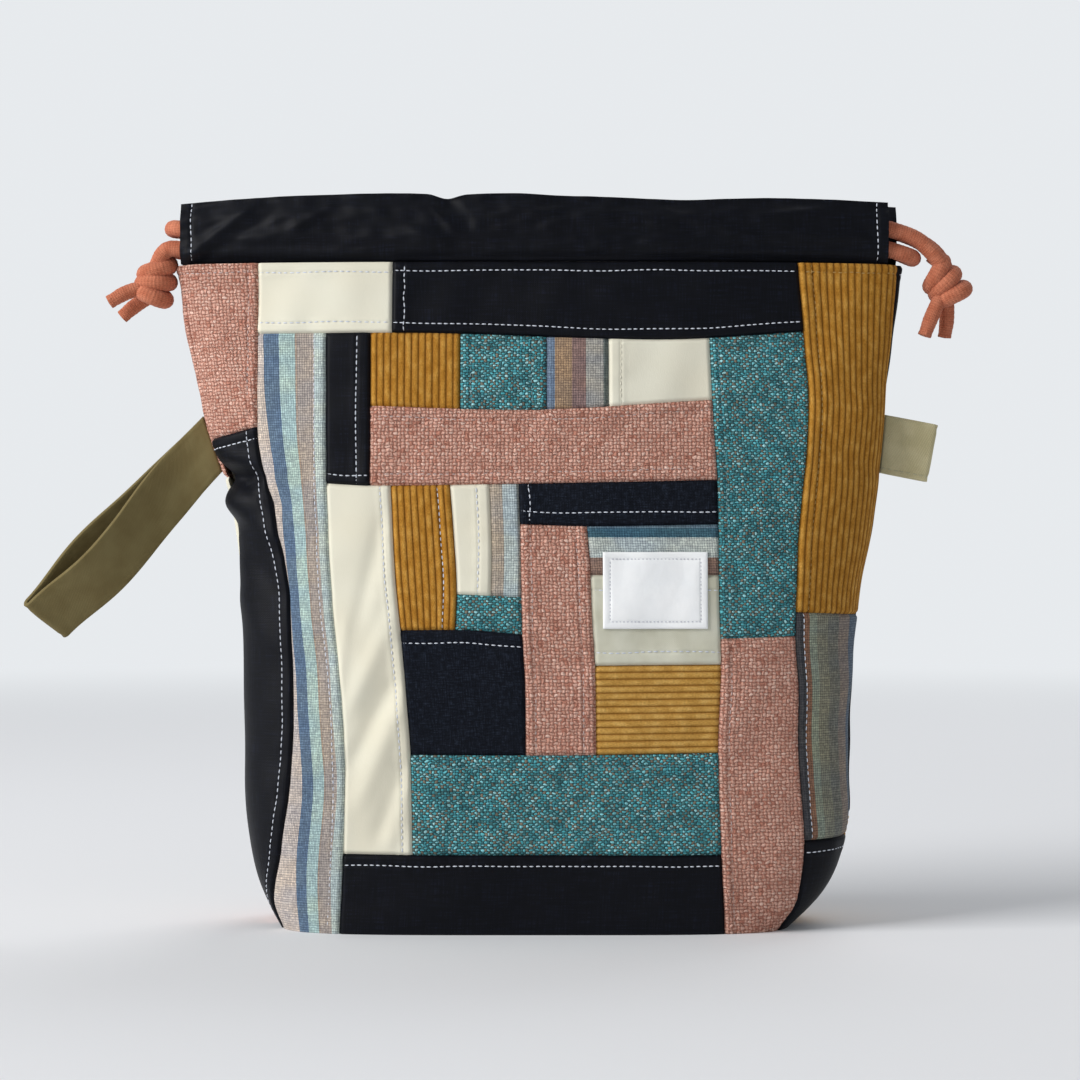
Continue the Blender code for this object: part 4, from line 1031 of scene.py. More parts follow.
right_tied = knot("right_knot", (160.2, 0, 251.4), (-0.56, 0.05, 0.80),
                  (((160, -1.0, 250), (156.6, -3.6, 243.6), (153.6, -4.4, 237), (151.4, -4.6, 230.8)),
                   ((160.5, 1.5, 250), (161.2, 2.8, 243), (161.2, 3.8, 237), (160.4, 4.2, 230.8))),
                  (((155.9, -4.2, 261.9), (157.6, -3.9, 259.6), (159.0, -2.6, 256), (160, -1.0, 250)),
                   ((158.4, 4.1, 262.5), (160.0, 3.9, 259.6), (160.9, 2.6, 256), (160.5, 1.5, 250))))
left_tied = knot("left_knot", (-151.8, 0, 251.6), (0.22, 0.05, 0.97),
                 (((-153, -1.5, 250), (-158.5, -3.0, 249.4), (-164, -3.9, 247.4), (-169.6, -4.2, 244)),
                  ((-152, 1.5, 248), (-157, 3.2, 245.6), (-161.5, 4.0, 242.6), (-165.8, 4.3, 239))),
                 (((-147.6, -4.35, 264.2), (-149.4, -3.8, 261.9), (-151.2, -2.6, 257), (-152, -1.5, 250)),
                  ((-148.4, 4.5, 264.4), (-150.2, 3.8, 261.9), (-151.6, 2.6, 257), (-152, 1.5, 248))))


def drawcord(name, route):
    path = soften(smooth_path(route, 0.15 * MM), 0.15 * MM, 1.7 * MM)
    centre = cord_steps(path)
    obj = cord_mesh(name + "_knitted", *tube(centre, CORD_DIAMETER / 2))
    dress(obj, "terracotta_cord", name)
    return obj


drawcord("drawcord_right_knotted", right_route)
drawcord("drawcord_left_knotted", left_route)

# Patches: side, four seams, cloth, wales, and stitched edges with their distance in mm
B, L, P, T, C, K, M, S = ("black_cotton", "linen_black", "pink_tweed", "teal_tweed", "cream_cotton",
                          "khaki_canvas", "mustard_corduroy", "stripe_cotton")
FRONT_PATCHES = (
    ("front_pink_corner", SIDE, left_spine, corner_hem, top_edge, P, "", "right:3.8 top:3.6"),
    ("front_cream_top_block", left_spine, cream_top_end, top_row_hem, top_edge, C, "", "bottom:4.2 top:3.9"),
    ("front_black_top_band", cream_top_end, right_outer, top_row_hem, top_edge, B, "",
     "left:4.7 bottom:3.9 top:3.4"),
    ("front_mustard_right_panel", right_outer, SIDE, right_panel_hem, top_edge, M, "upright",
     "left:5.4 top:3.6"),
    ("front_black_left_panel", SIDE, left_spine, floor_edge, corner_hem, B, "", "right:4.4 top:4.2"),
    ("front_stripe_left_strip", left_spine, stripe_right, floor_edge, top_row_hem, S, "", "right:4.6"),
    ("front_black_upper_strip", stripe_right, upper_strip_end, band_hem, top_row_hem, B, "",
     "right:5.2 bottom:3.8"),
    ("front_mustard_upper_block", upper_strip_end, upper_block_a, band_top, top_row_hem, M, "upright", ""),
    ("front_teal_upper_block", upper_block_a, upper_block_b, band_top, top_row_hem, T, "",
     "left:4.2 right:5.6"),
    ("front_stripe_upper_block", upper_block_b, upper_block_c, band_top, top_row_hem, S, "", ""),
    ("front_cream_upper_block", upper_block_c, right_spine, band_top, top_row_hem, C, "", "left:4.7"),
    ("front_pink_cross_band", upper_strip_end, right_spine, band_hem, band_top, P, "",
     "top:4.0 bottom:4.3"),
    ("front_cream_left_strip", stripe_right, left_strip_right, bottom_band_top, band_hem, C, "",
     "right:3.8"),
    ("front_mustard_centre_strip", left_strip_right, centre_a_right, black_block_top, band_hem, M,
     "upright", "right:5.0"),
    ("front_cream_centre_strip", centre_a_right, centre_b_right, teal_block_top, band_hem, C, "",
     "right:5.0"),
    ("front_stripe_centre_strip", centre_b_right, centre_c_right, teal_block_top, band_hem, S, "", ""),
    ("front_teal_small_block", centre_a_right, centre_c_right, black_block_top, teal_block_top, T, "", ""),
    ("front_black_centre_block", left_strip_right, pink_strip_left, lower_band_top, black_block_top, L,
     "", "top:4.9"),
    ("front_black_centre_band", centre_c_right, right_spine, centre_band_hem, band_hem, L, "",
     "left:4.0 bottom:5.1"),
    ("front_pink_centre_strip", pink_strip_left, pink_strip_right, lower_band_top, centre_band_hem, P,
     "", "left:4.0 right:4.6"),
    ("front_stripe_label_band", pink_strip_right, right_spine, label_band_hem, centre_band_hem, S, "", ""),
    ("front_khaki_label_block", pink_strip_right, right_spine, khaki_hem, label_band_hem, K, "",
     "bottom:5.0 top:5.6"),
    ("front_mustard_lower_block", pink_strip_right, right_spine, lower_band_top, khaki_hem, M, "level", ""),
    ("front_teal_lower_band", left_strip_right, right_spine, bottom_band_top, lower_band_top, T, "",
     "top:4.8"),
    ("front_teal_right_strip", right_spine, right_outer, right_strip_break, top_row_hem, T, "", "left:3.4"),
    ("front_pink_right_strip", right_spine, right_outer, floor_edge, right_strip_break, P, "", "left:4.0"),
    ("front_black_bottom_band", stripe_right, right_spine, floor_edge, bottom_band_top, B, "", "top:4.2"),
    ("front_stripe_right_panel", right_outer, SIDE, right_corner_top, right_panel_hem, S, "", "left:3.2"),
    ("front_black_right_corner", right_outer, SIDE, floor_edge, right_corner_top, B, "", "top:4.4"),
)
BACK_PATCHES = (
    ("back_pink_left_panel", SIDE, back_left_inner, back_left_high, top_edge, P, "", "right:4.2 top:3.6"),
    ("back_cream_left_panel", SIDE, back_left_inner, back_left_low, back_left_high, C, "", "right:4.2"),
    ("back_pink_left_corner", SIDE, back_left_inner, floor_edge, back_left_low, P, "", "top:4.2"),
    ("back_black_right_panel", back_right_inner, SIDE, back_right_low, top_edge, B, "", "left:4.2 top:3.6"),
    ("back_mustard_right_corner", back_right_inner, SIDE, floor_edge, back_right_low, M, "level", ""),
    ("back_black_top_band", back_left_inner, back_right_inner, back_top_hem, top_edge, B, "",
     "bottom:4.0 top:3.6"),
    ("back_stripe_panel", back_left_inner, back_middle, back_pink_hem, back_top_hem, S, "", "right:4.4"),
    ("back_cream_panel", back_middle, back_right_inner, back_pink_top, back_top_hem, C, "", ""),
    ("back_pink_band", back_middle, back_right_inner, back_pink_hem, back_pink_top, P, "",
     "top:4.2 bottom:4.2"),
    ("back_teal_band", back_left_inner, back_right_inner, back_bottom_top, back_pink_hem, T, "", "top:4.6"),
    ("back_black_bottom_band", back_left_inner, back_right_inner, floor_edge, back_bottom_top, B, "",
     "top:4.2"),
)
patches = [Patch(row[0], side, *row[1:]) for side, plan in ((FRONT, FRONT_PATCHES), (BACK, BACK_PATCHES))
           for row in plan]
for patch in patches:
    patch.build()


def thread_bits(starts, ends, outs, thick):
    """Capsules for stitches: a low arch from one hole to the next."""
    sides, rings = 6, 5
    points, faces = [], []
    turn = np.arange(sides) * 2 * math.pi / sides
    for a, b, n in zip(starts, ends, outs):
        run = b - a
        length = np.linalg.norm(run)
        if length < 0.2 * MM:
            continue
        run = run / length
        wide = np.cross(run, n)
        base = len(points)
        for t in np.linspace(0, 1, rings):
            round_off = math.sqrt(max(0.0, 1 - (2 * t - 1) ** 4)) * 0.9 + 0.1
            mid = a + run * length * t + n * (thick * 0.55 * (1 - (2 * t - 1) ** 2) - thick * 0.25)
            points += list(mid + thick * round_off * (np.cos(turn)[:, None] * wide
                                                      + 0.8 * np.sin(turn)[:, None] * n))
        for j in range(rings - 1):
            for k in range(sides):
                m = (k + 1) % sides
                faces.append((base + j * sides + k, base + j * sides + m,
                              base + (j + 1) * sides + m, base + (j + 1) * sides + k))
        faces.append(tuple(base + k for k in range(sides))[::-1])
        faces.append(tuple(base + (rings - 1) * sides + k for k in range(sides)))
    return points, faces


def sew(path, outs, thick, stitch=STITCH, rest=STITCH_REST, seed=1):
    """Stitches at an even pitch along a fine path of points with outward directions."""
    run = np.concatenate(([0], np.cumsum(np.linalg.norm(np.diff(path, axis=0), axis=1))))
    draw = np.random.default_rng(seed)
    starts = np.arange(0.4 * MM, run[-1] - stitch * 0.6, stitch + rest)
    starts = starts + draw.uniform(-0.12, 0.12, len(starts)) * MM
    ends = np.minimum(starts + stitch * draw.uniform(0.9, 1.08, len(starts)), run[-1])

    def at(marks, values):
        return np.stack([np.interp(marks, run, values[:, k]) for k in range(3)], -1)
    return thread_bits(at(starts, path), at(ends, path), at((starts + ends) / 2, outs), thick)


class Seams:
    """All stitches of one thread, gathered into one piece."""

    def __init__(self):
        self.points, self.faces = [], []

    def add(self, bits):
        base = len(self.points)
        self.points += bits[0]
        self.faces += [tuple(base + i for i in f) for f in bits[1]]

    def piece(self, name, colour):
        obj = mesh_object(name, self.points, self.faces, np.zeros((len(self.points), 2)))
        obj.data.materials.append(colour)
        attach(obj, "root")
        return obj


def thread_material(name, colour):
    if name in bpy.data.materials:
        return bpy.data.materials[name]
    w = Weave(name, roughness=0.6, sheen=0.1)
    place = w.make("TexCoord", out=3)
    fleck = w.make("TexNoise", {"Vector": place, "Scale": 2600.0, "Detail": 2.0})
    w.colour(w.ramp(fleck, [(0.3, shade(colour, 0.8)), (0.7, colour)]))
    w.bump(fleck, 0.08)
    return w.mat


white_thread = thread_material("white_thread", srgb(224, 229, 240))
# Thread of a patch's own stitches where it isn't white, and how far a cloth's nap hides it
THREADS = {"pink_tweed": ("rose_thread", (206, 184, 178)), "teal_tweed": ("teal_thread", (128, 164, 168)),
           "front_mustard_right_panel": ("gold_thread", (188, 150, 84)),
           "front_cream_upper_block": ("cream_thread", (222, 218, 200))}
SINK = {"pink_tweed": 0.10, "teal_tweed": 0.12, "mustard_corduroy": 0.06, "cream_cotton": -0.05,
        "khaki_canvas": -0.02, "stripe_cotton": -0.02}


def stitch_line(patch, edge, off):
    """Path of a patch's stitches at a distance from one of its seams."""
    shares = np.linspace(0.0, 1.0, 500)
    first = np.array([0.0 if edge in ("left", "bottom") else 1.0])
    off = off if edge in ("left", "bottom") else -off
    drift = 0.18 * MM * waves(shares * (patch.tall + patch.width), 0 * shares, 40 * MM, patch.seed, 4)
    if edge in ("left", "right"):
        arc, z, _ = patch.spread(first, shares)
        arc, z = arc[:, 0] + off + drift, z[:, 0]
    else:
        arc, z, _ = patch.spread(shares, first)
        arc, z = arc[0], z[0] + off + drift
    away = patch.edges(arc, z)
    inside = np.all([away[k] > 0.3 * MM for k in away], axis=0)
    if patch.floor:
        inside &= z > 2.5 * MM
    return arc[inside], z[inside]


for side, place in ((FRONT, "front"), (BACK, "back")):
    threads = {}
    for patch in (p for p in patches if p.side == side):
        own = THREADS.get(patch.name) or THREADS.get(patch.fabric) or ("white_thread", None)
        for edge, off in patch.stitched.items():
            arc, z = stitch_line(patch, edge, off)
            path = patch.point(arc, z, (0.06 - SINK.get(patch.fabric, -0.05)) * MM)
            bits = sew(path, skin(side, arc, z)[1], THREAD, seed=patch.seed + len(edge))
            threads.setdefault(own, Seams()).add(bits)
    for (name, colour), seams in threads.items():
        look = thread_material(name, srgb(*colour)) if colour else white_thread
        seams.piece(place + "_" + name.replace("_thread", "_stitching"), look)


# Creases of the casings' outer walls: start, end, width, height, all in mm from the middle and its foot
CASING_FOLDS = {
    FRONT: (
        ((-139, 2), (-113, 22), 2.2, 1.5), ((-133, 1), (-104, 19), 1.8, -1.3),
        ((-128, 6.5), (-56, 5), 1.6, -1.2), ((-122, 10), (-34, 9.5), 2.2, 0.9),
        ((-98, 11), (-80, 23), 2.0, 0.9), ((-88, 20), (-62, 17), 1.8, -0.7), ((-66, 18), (-38, 8), 2.4, 0.8),
        ((-36, 26), (-27, 13), 1.6, -1.3), ((-42, 22), (-33, 12), 1.6, 0.9), ((-22, 7), (42, 12), 2.0, -0.9),
        ((-14, 22), (8, 17), 2.2, 0.8), ((0, 12), (28, 21), 2.2, 0.9), ((18, 6), (64, 9), 1.8, 0.8),
        ((36, 23), (60, 15), 1.9, -0.8), ((50, 20), (84, 10), 2.4, 0.9), ((70, 6.5), (124, 5.5), 1.7, -1.1),
        ((82, 16), (108, 22), 2.2, 0.8), ((96, 12), (130, 10), 2.0, 0.9), ((118, 24), (131, 9), 1.8, -0.8)),
    BACK: (
        ((-120, 6), (-70, 9), 2.2, -1.0), ((-60, 16), (-20, 8), 2.6, 0.9), ((10, 7), (70, 6), 2.0, -1.0),
        ((60, 18), (110, 9), 2.4, 0.9), ((-30, 22), (10, 17), 2.0, -0.8), ((90, 20), (130, 14), 2.2, 0.8)),
}


def casing_fold(x, rise, side, outside):
    """Creases of a casing's wall, in metres off its plain form, never so deep that they meet a cord."""
    wave = 0.45 * MM * waves(x, rise * 1.6, 30 * MM, 21 + side) * smooth(rise / (4 * MM))
    wave = wave + 0.22 * MM * waves(x, rise * 2.0, 11 * MM, 23 + side) * smooth(rise / (6 * MM))
    if outside:
        for start, end, width, height in CASING_FOLDS[side]:
            wave = wave + ridge(x, rise, start, end, width, height)
    wave = wave + (0.6 if outside else 0.35) * MM
    return 0.5 * (wave - 0.2 * MM + np.sqrt((wave + 0.2 * MM) ** 2 + (0.4 * MM) ** 2))


top_line = line((-142, 0), (-125, 0.4), (-95, 0.9), (-60, 1.0), (-44, 0.5), (-36, -1.5), (-28, 0.2),
                (-12, 0.6), (8, -0.3), (32, -1.0), (55, -1.7), (75, -0.8), (100, 0.1), (142, 0.3))


def casing_ring(side, x, rises, wall, node_end):
    """Cross-section of a casing at x: up its outer wall and down its inner one."""
    ring = []
    for sign, order in ((1, rises), (-1, rises[::-1])):
        for rise in order:
            half = casing_half_thickness(rise) - wall
            fold = casing_fold(np.array(x), np.array(rise), side, sign > 0) if wall == 0 else 0.0
            stitch_in = min(abs(x - node_end[0]), abs(x - node_end[1]))
            tight = math.exp(-((stitch_in - 4.4 * MM) / (0.7 * MM)) ** 2) * 0.35 * MM
            out = casing_out(x, rise) + sign * max(half + fold - tight * (wall == 0), 0.35 * MM)
            z = BODY_TOP + GAP + rise * float(casing_height(x))
            z += float(top_line(x * (1 if side == FRONT else -1))) * float(smooth(rise / CASING_HEIGHT))
            ring.append((x, side * out, z))
    return ring


def casing(name, side, ends):
    rises = np.concatenate([np.linspace(0, 24.6, 26), [25.2, 25.6, 25.85, 26.0]]) * MM
    inner_rises = np.array([1.2, 4.5, 11, 18, 21, 24.6]) * MM
    xs = np.unique(np.concatenate([np.linspace(ends[0], ends[1], 210),
                                   [e + s * d * MM for e, s in ((ends[0], 1), (ends[1], -1))
                                    for d in (0.25, 0.6, 3.4, 3.9, 4.4, 4.9, 5.4)]]))
    few = np.linspace(ends[0], ends[1], 25)
    points, faces, uvs, counts = [], [], [], []
    for stations, heights, wall in ((xs, rises, 0.0), (few, inner_rises, CASING_CLOTH)):
        start = len(points)
        for x in stations:
            ring = casing_ring(side, x, heights, wall, ends)
            points += ring
            run = np.concatenate(([0], np.cumsum(np.linalg.norm(np.diff(np.array(ring), axis=0), axis=1))))
            uvs += [(x, r) for r in run]
        cols = 2 * len(heights)
        faces += grid_faces(len(stations), cols, start, (side == BACK) == (wall == 0), wrap=True)
        counts.append((start, len(stations), cols))
    (a, rows_a, cols_a), (b, rows_b, cols_b) = counts
    for row_a, row_b, turned in ((0, 0, False), (rows_a - 1, rows_b - 1, True)):
        rim_a = [a + row_a * cols_a + i for i in range(cols_a)]
        rim_b = [b + row_b * cols_b + i for i in range(cols_b)]
        for f in rim_faces(rim_a + rim_a[:1], rim_b + rim_b[:1]):
            faces.append(f[::-1] if turned != (side == FRONT) else f)
    obj = mesh_object(name + "_cloth", points, faces, uvs)
    dress(obj, B, name)
    # Stitching of the hemmed ends, on the outer wall
    seams = Seams()
    for end, inward in ((ends[0], 1), (ends[1], -1)):
        rise = np.linspace(1.0, 25.6, 120) * MM
        x = end + inward * 4.4 * MM + 0.25 * MM * np.sin(rise / (4 * MM))
        path = []
        for xi, ri in zip(x, rise):
            fold = float(casing_fold(np.array(xi), np.array(ri), side, True))
            out = casing_out(xi, ri) + float(casing_half_thickness(ri)) + fold - 0.3 * MM
            z = BODY_TOP + GAP + ri * float(casing_height(xi))
            z += float(top_line(xi * (1 if side == FRONT else -1))) * float(smooth(ri / CASING_HEIGHT))
            path.append((xi, side * out, z))
        outs = np.tile(np.array([0, side, 0.0]), (len(path), 1))
        seams.add(sew(np.array(path), outs, THREAD, seed=7))
    seams.piece(name + "_stitching", white_thread)


casing("front_casing", FRONT, FRONT_CASING_ENDS)
casing("back_casing", BACK, BACK_CASING_ENDS)


def ring_points(height, inset, count, slack=0.0):
    """Points right round the bag at one height, this far inside the skin."""
    arc = np.linspace(0, half_length(height), count + 1)
    runs = []
    for side, order in ((FRONT, slice(None, -1)), (BACK, slice(None, 0, -1))):
        at, normal = skin(side, arc, height)
        depth = inset + slack * normal[:, 0:1] ** 2
        soft = np.minimum(folds(side, at), 0.0)[:, None]
        runs.append((at + normal * (soft - depth))[order])
    return np.vstack(runs)


def lining():
    heights = np.concatenate([[LINING_INSET], np.linspace(6 * MM, 250 * MM, 62),
                              [254 * MM, 257 * MM, BODY_TOP]])
    count, points, faces, uvs = 130, [], [], []
    blocks = []
    for inset, low in ((LINING_INSET, 0.0), (LINING_INSET + 0.8 * MM, 0.8 * MM)):
        start = len(points)
        for h in heights:
            h = max(h, LINING_INSET + low)
            ring = ring_points(h, inset, count, 1.0 * MM)
            points += list(ring)
            run = np.concatenate(([0], np.cumsum(np.linalg.norm(np.diff(ring, axis=0), axis=1))))
            uvs += [(r, h) for r in run]
        ring_size = len(ring)
        faces += grid_faces(len(heights), ring_size, start, low > 0, wrap=True)
        half = ring_size // 2
        for i in range(1, half):
            quad = [start + i, start + i + 1, start + (ring_size - i - 1) % ring_size,
                    start + ring_size - i]
            quad = list(dict.fromkeys(quad))
            faces.append(quad if low > 0 else quad[::-1])
        first = [start, start + 1, start + ring_size - 1]
        faces.append(first if low > 0 else first[::-1])
        blocks.append((start, ring_size))
    (a, size), (b, _) = blocks
    top = (len(heights) - 1) * size
    for i in range(size):
        k = (i + 1) % size
        faces.append((a + top + i, a + top + k, b + top + k, b + top + i))
    obj = mesh_object("lining_bag_cloth", points, faces, uvs)
    return dress(obj, "lining_cotton", "lining_bag")


lining()


def base():
    """Flat base between the walls, with a turned edge."""
    rings, points, uvs = [], [], []
    low, high = 0.0, CLOTH
    for inset, z in ((2.6, high), (2.1, high), (2.0, 0.65 * MM), (2.15, 0.15 * MM), (2.6, low), (8, low),
                     (16, low), (26, low), (36, low)):
        ring = ring_points(0.0, inset * MM, 110)
        ring[:, 2] = z
        rings.append(len(points))
        points += list(ring)
        uvs += [(p[0], p[1]) for p in ring]
    size = len(ring)
    faces = []
    for a, b in zip(rings, rings[1:]):
        faces += [(a + i, b + i, b + (i + 1) % size, a + (i + 1) % size) for i in range(size)]
    for start, flip in ((rings[0], True), (rings[-1], False)):
        half = size // 2
        faces += [q[::-1] if flip else q for q in
                  [(start, start + 1, start + size - 1)]
                  + [tuple(dict.fromkeys((start + i, start + i + 1, start + (size - i - 1) % size,
                                          start + size - i))) for i in range(1, half)]]
    obj = mesh_object("base_panel_cloth", points, faces, uvs)
    return dress(obj, B, "base_panel")


base()


def tape_loop(node, side, height, length, loop, bow, run, cross_root, tilt, seat, segments, stitched):
    """Folded tape loop standing out of a side seam: two layers and a round fold at the tip."""
    run = Vector(run).normalized()
    tip_cross = Vector((run.z, 0, -run.x))
    if tip_cross.z < 0:
        tip_cross = -tip_cross
    through = run.cross(tip_cross).normalized()
    if through.y > 0:
        through = -through
    lean = math.radians(tilt)
    layer_out = through * math.cos(lean) + Vector((0, 0, -1)) * math.sin(lean)
    layer_out = (layer_out - run * layer_out.dot(run)).normalized()
    tip_cross = layer_out.cross(run).normalized()
    if tip_cross.z < 0:
        tip_cross = -tip_cross
    half = loop / 2 + TAPE / 2
    start = GAP / 2 + TAPE / 2
    straight = length - half
    shares = np.linspace(0, 1, segments + 1)
    near = [(straight * t, start + (half - start) * float(smooth(t))
             + bow * math.sin(math.pi * t ** 1.7) ** 2) for t in shares]
    fold = [(straight + half * math.sin(a), half * math.cos(a))
            for a in (math.pi * k / 16 for k in range(1, 16))]
    middle = near + fold + [(l, -g) for l, g in near[::-1]]
    out = 1 if side == "right" else -1
    half_width = half_right if side == "right" else half_left
    cross_root = Vector(cross_root)
    reach = TAPE_WIDTH / 2 * cross_root.z
    upper = Vector((out * float(half_width(height + reach)), 0, height + reach))
    lower = Vector((out * float(half_width(height - reach)), 0, height - reach))
    root = (upper + lower) / 2 + Vector((out * seat, 0, 0))
    cross_root = (upper - lower).normalized()

    def station(i):
        l, g = middle[i]
        before, after = middle[max(i - 1, 0)], middle[min(i + 1, len(middle) - 1)]
        along = Vector((after[0] - before[0], after[1] - before[1])).normalized()
        blend = float(smooth(l / (0.5 * length)))
        cross = cross_root.lerp(tip_cross, blend).normalized()
        layer = cross.cross(run).normalized()
        if layer.y > 0:
            layer = -layer
        centre = root + run * l + layer * g
        face = run * -along.y + layer * along.x
        return centre, face, cross

    # Rounded cross-section: across the width and through the thickness, in shares
    profile = []
    for w in np.linspace(-0.485, 0.485, 15):
        profile.append((w, 0.5))
    profile += [(0.496, 0.36), (0.5, 0.0), (0.496, -0.36)]
    for w in np.linspace(0.485, -0.485, 15):
        profile.append((w, -0.5))
    profile += [(-0.496, -0.36), (-0.5, 0.0), (-0.496, 0.36)]
    points, uvs, run_at = [], [], 0.0
    for i in range(len(middle)):
        centre, face, cross = station(i)
        if i:
            run_at += (centre - before_centre).length
        before_centre = centre
        for w, t in profile:
            groove = 0.28 * math.exp(-((abs(w) - TAPE_GROOVE) / 0.025) ** 2)
            puff = 0.12 * math.cos(w * math.pi) * (1 if bow else 0.3)
            ripple = 0.08 * float(waves(np.array(run_at), np.array(w * TAPE_WIDTH), 14 * MM, 31))
            thick = TAPE * t * (1 - groove) + TAPE * (puff + ripple) * np.sign(t) * 0.5 * (abs(t) > 0.4)
            points.append(tuple(centre + face * float(thick) + cross * (w * TAPE_WIDTH)))
            uvs.append((w * TAPE_WIDTH, run_at + (0.05 if t < 0 else 0)))
    cols = len(profile)
    faces = grid_faces(len(middle), cols, 0, wrap=True)
    faces.append(tuple(range(cols))[::-1])
    faces.append(tuple(range((len(middle) - 1) * cols, len(middle) * cols)))
    obj = mesh_object(node + "_tape", points, faces, uvs)
    turn_out(obj)
    # The strap's tape takes the twill darkened with painted shade; the tab takes the plain twill.
    dress(obj, "olive_twill_worn" if bow else "olive_twill", node)
    seams = Seams()
    for w in stitched:
        for sign in (1, -1):
            path, outs = [], []
            for i in range(len(middle)):
                centre, face, cross = station(i)
                path.append(centre + face * (sign * TAPE * 0.42) + cross * (w * TAPE_WIDTH))
                outs.append(face * sign)
            fine = np.linspace(0, len(path) - 1, 600)
            path, outs = (np.stack([np.interp(fine, range(len(v)), np.array(v)[:, k]) for k in range(3)], -1)
                          for v in (path, outs))
            seams.add(sew(path, outs, THREAD * 0.8, seed=11))
    if stitched:
        seams.piece(node + "_stitching", thread_material(node + "_thread", srgb(196, 192, 160)))
    return obj


def turn_out(obj):
    """Faces of a closed piece outward."""
    bm = bmesh.new()
    bm.from_mesh(obj.data)
    bmesh.ops.recalc_face_normals(bm, faces=bm.faces)
    bm.to_mesh(obj.data)
    bm.free()


tape_loop("wrist_strap", "left", STRAP_HEIGHT, STRAP_LENGTH, STRAP_LOOP, STRAP_BOW, (-0.69, 0, -0.724),
          (-0.45, 0, 0.89), STRAP_TILT, TAPE_SEAT, 90, ())
tape_loop("side_tab", "right", TAB_HEIGHT, TAB_LENGTH, TAB_LOOP, 0.0, (0.98, 0, -0.19),
          (0.215, 0, 0.977), 0, TAPE_SEAT, 20, (-TAPE_GROOVE,))


def label():
    """Blank woven label with a fine stitched border, lying on the patches."""
    border = 2.7 * MM
    width, tall = LABEL_RIGHT - LABEL_LEFT, LABEL_TOP - LABEL_BOTTOM

    def shares(length):
        marks = {0, 0.2, 0.5, 1.0, length / MM, length / MM - 0.2, length / MM - 0.5, length / MM - 1.0}
        for e in (border / MM, length / MM - border / MM):
            marks |= {e + d for d in (-0.6, -0.3, 0, 0.3, 0.6)}
        marks |= set(np.linspace(0, length / MM, 34))
        kept = []
        for m in sorted(marks):
            if not kept or m - kept[-1] > 0.12:
                kept.append(m)
        kept[-1] = length / MM
        return np.array(kept) * MM / length

    def face(us, vs, lift, formed):
        u, v = np.meshgrid(us, vs)
        x, z = LABEL_LEFT + width * u, LABEL_BOTTOM + tall * v
        arc = np.zeros_like(x)
        for r in range(x.shape[0]):
            height = z[r, 0]
            k = int(round(height / BODY_TOP * (len(LEVELS) - 1)))
            arc[r] = np.interp(x[r], SECTIONS[k][0], SECTIONS[k][4])
        at, normal = skin(FRONT, arc, z)
        edge = np.minimum(np.minimum(u, 1 - u) * width, np.minimum(v, 1 - v) * tall)
        form = -0.32 * np.exp(-(edge / (0.28 * MM)) ** 2)
        form = form - 0.22 * np.exp(-((edge - border) / (0.4 * MM)) ** 2)
        form = form + 0.12 * waves(x, z, 16 * MM, 41) * smooth(edge / (3 * MM))
        total = folds(FRONT, at) + lift + (form * MM if formed else 0)
        return at + normal * total[..., None], normal, np.stack([x, z], -1)
    us, vs = shares(width), shares(tall)
    outer, normal, uv = face(us, vs, 1.15 * MM, True)
    inner = face(us[thin(len(us), 7)], vs[thin(len(vs), 7)], 0.25 * MM, False)[0]
    obj = shell("label_tape", outer, inner, thin(len(us), 7), thin(len(vs), 7), uv, {})
    dress(obj, "white_tape", "label")
    seams = Seams()
    inset_u, inset_v = border / width, border / tall
    fine = np.linspace(0, 1, 300)
    for us_line, vs_line in ((fine * (1 - 2 * inset_u) + inset_u, [inset_v]),
                             (fine * (1 - 2 * inset_u) + inset_u, [1 - inset_v]),
                             ([inset_u], fine * (1 - 2 * inset_v) + inset_v),
                             ([1 - inset_u], fine * (1 - 2 * inset_v) + inset_v)):
        path, outs, _ = face(np.array(us_line), np.array(vs_line), 1.0 * MM, False)
        seams.add(sew(path.reshape(-1, 3), outs.reshape(-1, 3), 0.2 * MM, 1.0 * MM, 0.45 * MM, 13))
    seams.piece("label_stitching", thread_material("label_thread", srgb(206, 208, 216)))


label()

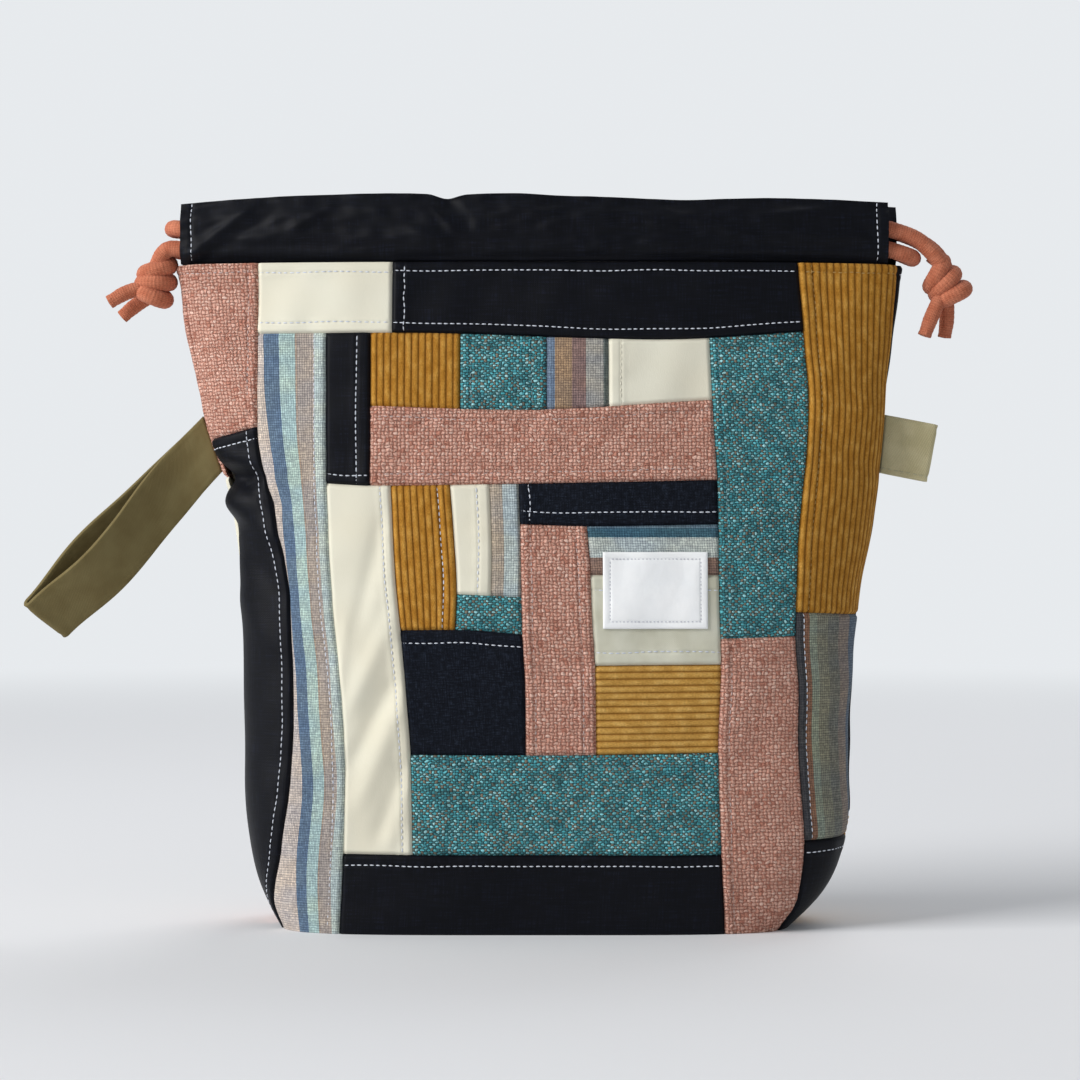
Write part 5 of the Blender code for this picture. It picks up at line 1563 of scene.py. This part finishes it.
# Floor, backdrop and light. Far from the bag the floor turns into the backdrop's plain colour.
BACKDROP = (0.80, 0.825, 0.85, 1)
around = [(8 * math.cos(a), 8 * math.sin(a), 0.0) for a in np.linspace(0, 2 * math.pi, 64, endpoint=False)]
ground = bpy.data.objects.new("ground", bpy.data.meshes.new("ground"))
ground.data.from_pydata(around, [], [tuple(range(64))])
bpy.context.scene.collection.objects.link(ground)
floor = Weave("pale_floor", 0.9, 0.0, 0.5, 0.3)
floor.shader.inputs["Base Color"].default_value = (0.80, 0.81, 0.83, 1)
away = floor.make("VectorMath", {0: floor.make("NewGeometry")}, 1, operation="LENGTH")
far = floor.make("MapRange", {0: away, 1: 0.7, 2: 2.4, 3: 0.0, 4: 1.0}, interpolation_type="SMOOTHSTEP")
seen = floor.math("MULTIPLY", far, floor.make("LightPath"))
glow = floor.make("Emission", {"Color": BACKDROP, "Strength": 1.0})
blend = floor.make("MixShader", {0: seen, 1: floor.shader.outputs[0], 2: glow})
floor.tree.links.new(blend, floor.tree.nodes["Material Output"].inputs["Surface"])
ground.data.materials.append(floor.mat)

world = bpy.data.worlds.new("soft_room")
bpy.context.scene.world = world
world.use_nodes = True
nodes, links = world.node_tree.nodes, world.node_tree.links
nodes["Background"].inputs["Color"].default_value = (0.93, 0.96, 1.0, 1)
nodes["Background"].inputs["Strength"].default_value = 0.34
plain = nodes.new("ShaderNodeBackground")
plain.inputs["Color"].default_value = BACKDROP
plain.inputs["Strength"].default_value = 1.0
ray = nodes.new("ShaderNodeLightPath")
shown = nodes.new("ShaderNodeMath")
shown.operation = "MAXIMUM"
links.new(ray.outputs["Is Camera Ray"], shown.inputs[0])
links.new(ray.outputs["Is Transmission Ray"], shown.inputs[1])
either = nodes.new("ShaderNodeMixShader")
links.new(shown.outputs[0], either.inputs[0])
links.new(nodes["Background"].outputs[0], either.inputs[1])
links.new(plain.outputs[0], either.inputs[2])
links.new(either.outputs[0], nodes["World Output"].inputs["Surface"])


def lamp(name, place, target, size, power, colour):
    data = bpy.data.lights.new(name, "AREA")
    data.shape = "RECTANGLE"
    data.size, data.size_y = size
    data.energy = power
    data.color = colour
    obj = bpy.data.objects.new(name, data)
    obj.location = place
    obj.rotation_euler = (Vector(target) - Vector(place)).to_track_quat("-Z", "Y").to_euler()
    bpy.context.scene.collection.objects.link(obj)


lamp("window", (-2.3, -1.15, 1.5), (0, 0, 0.12), (1.7, 1.7), 84, (1.0, 0.99, 0.98))
lamp("fill", (1.7, -1.5, 0.7), (0, 0, 0.14), (1.4, 1.4), 2, (0.94, 0.97, 1.0))
lamp("back_fill", (0.6, 1.3, 1.6), (0, 0, 0.2), (1.2, 1.2), 12, (1.0, 1.0, 1.0))

scene = bpy.context.scene
scene.view_settings.view_transform = "Standard"
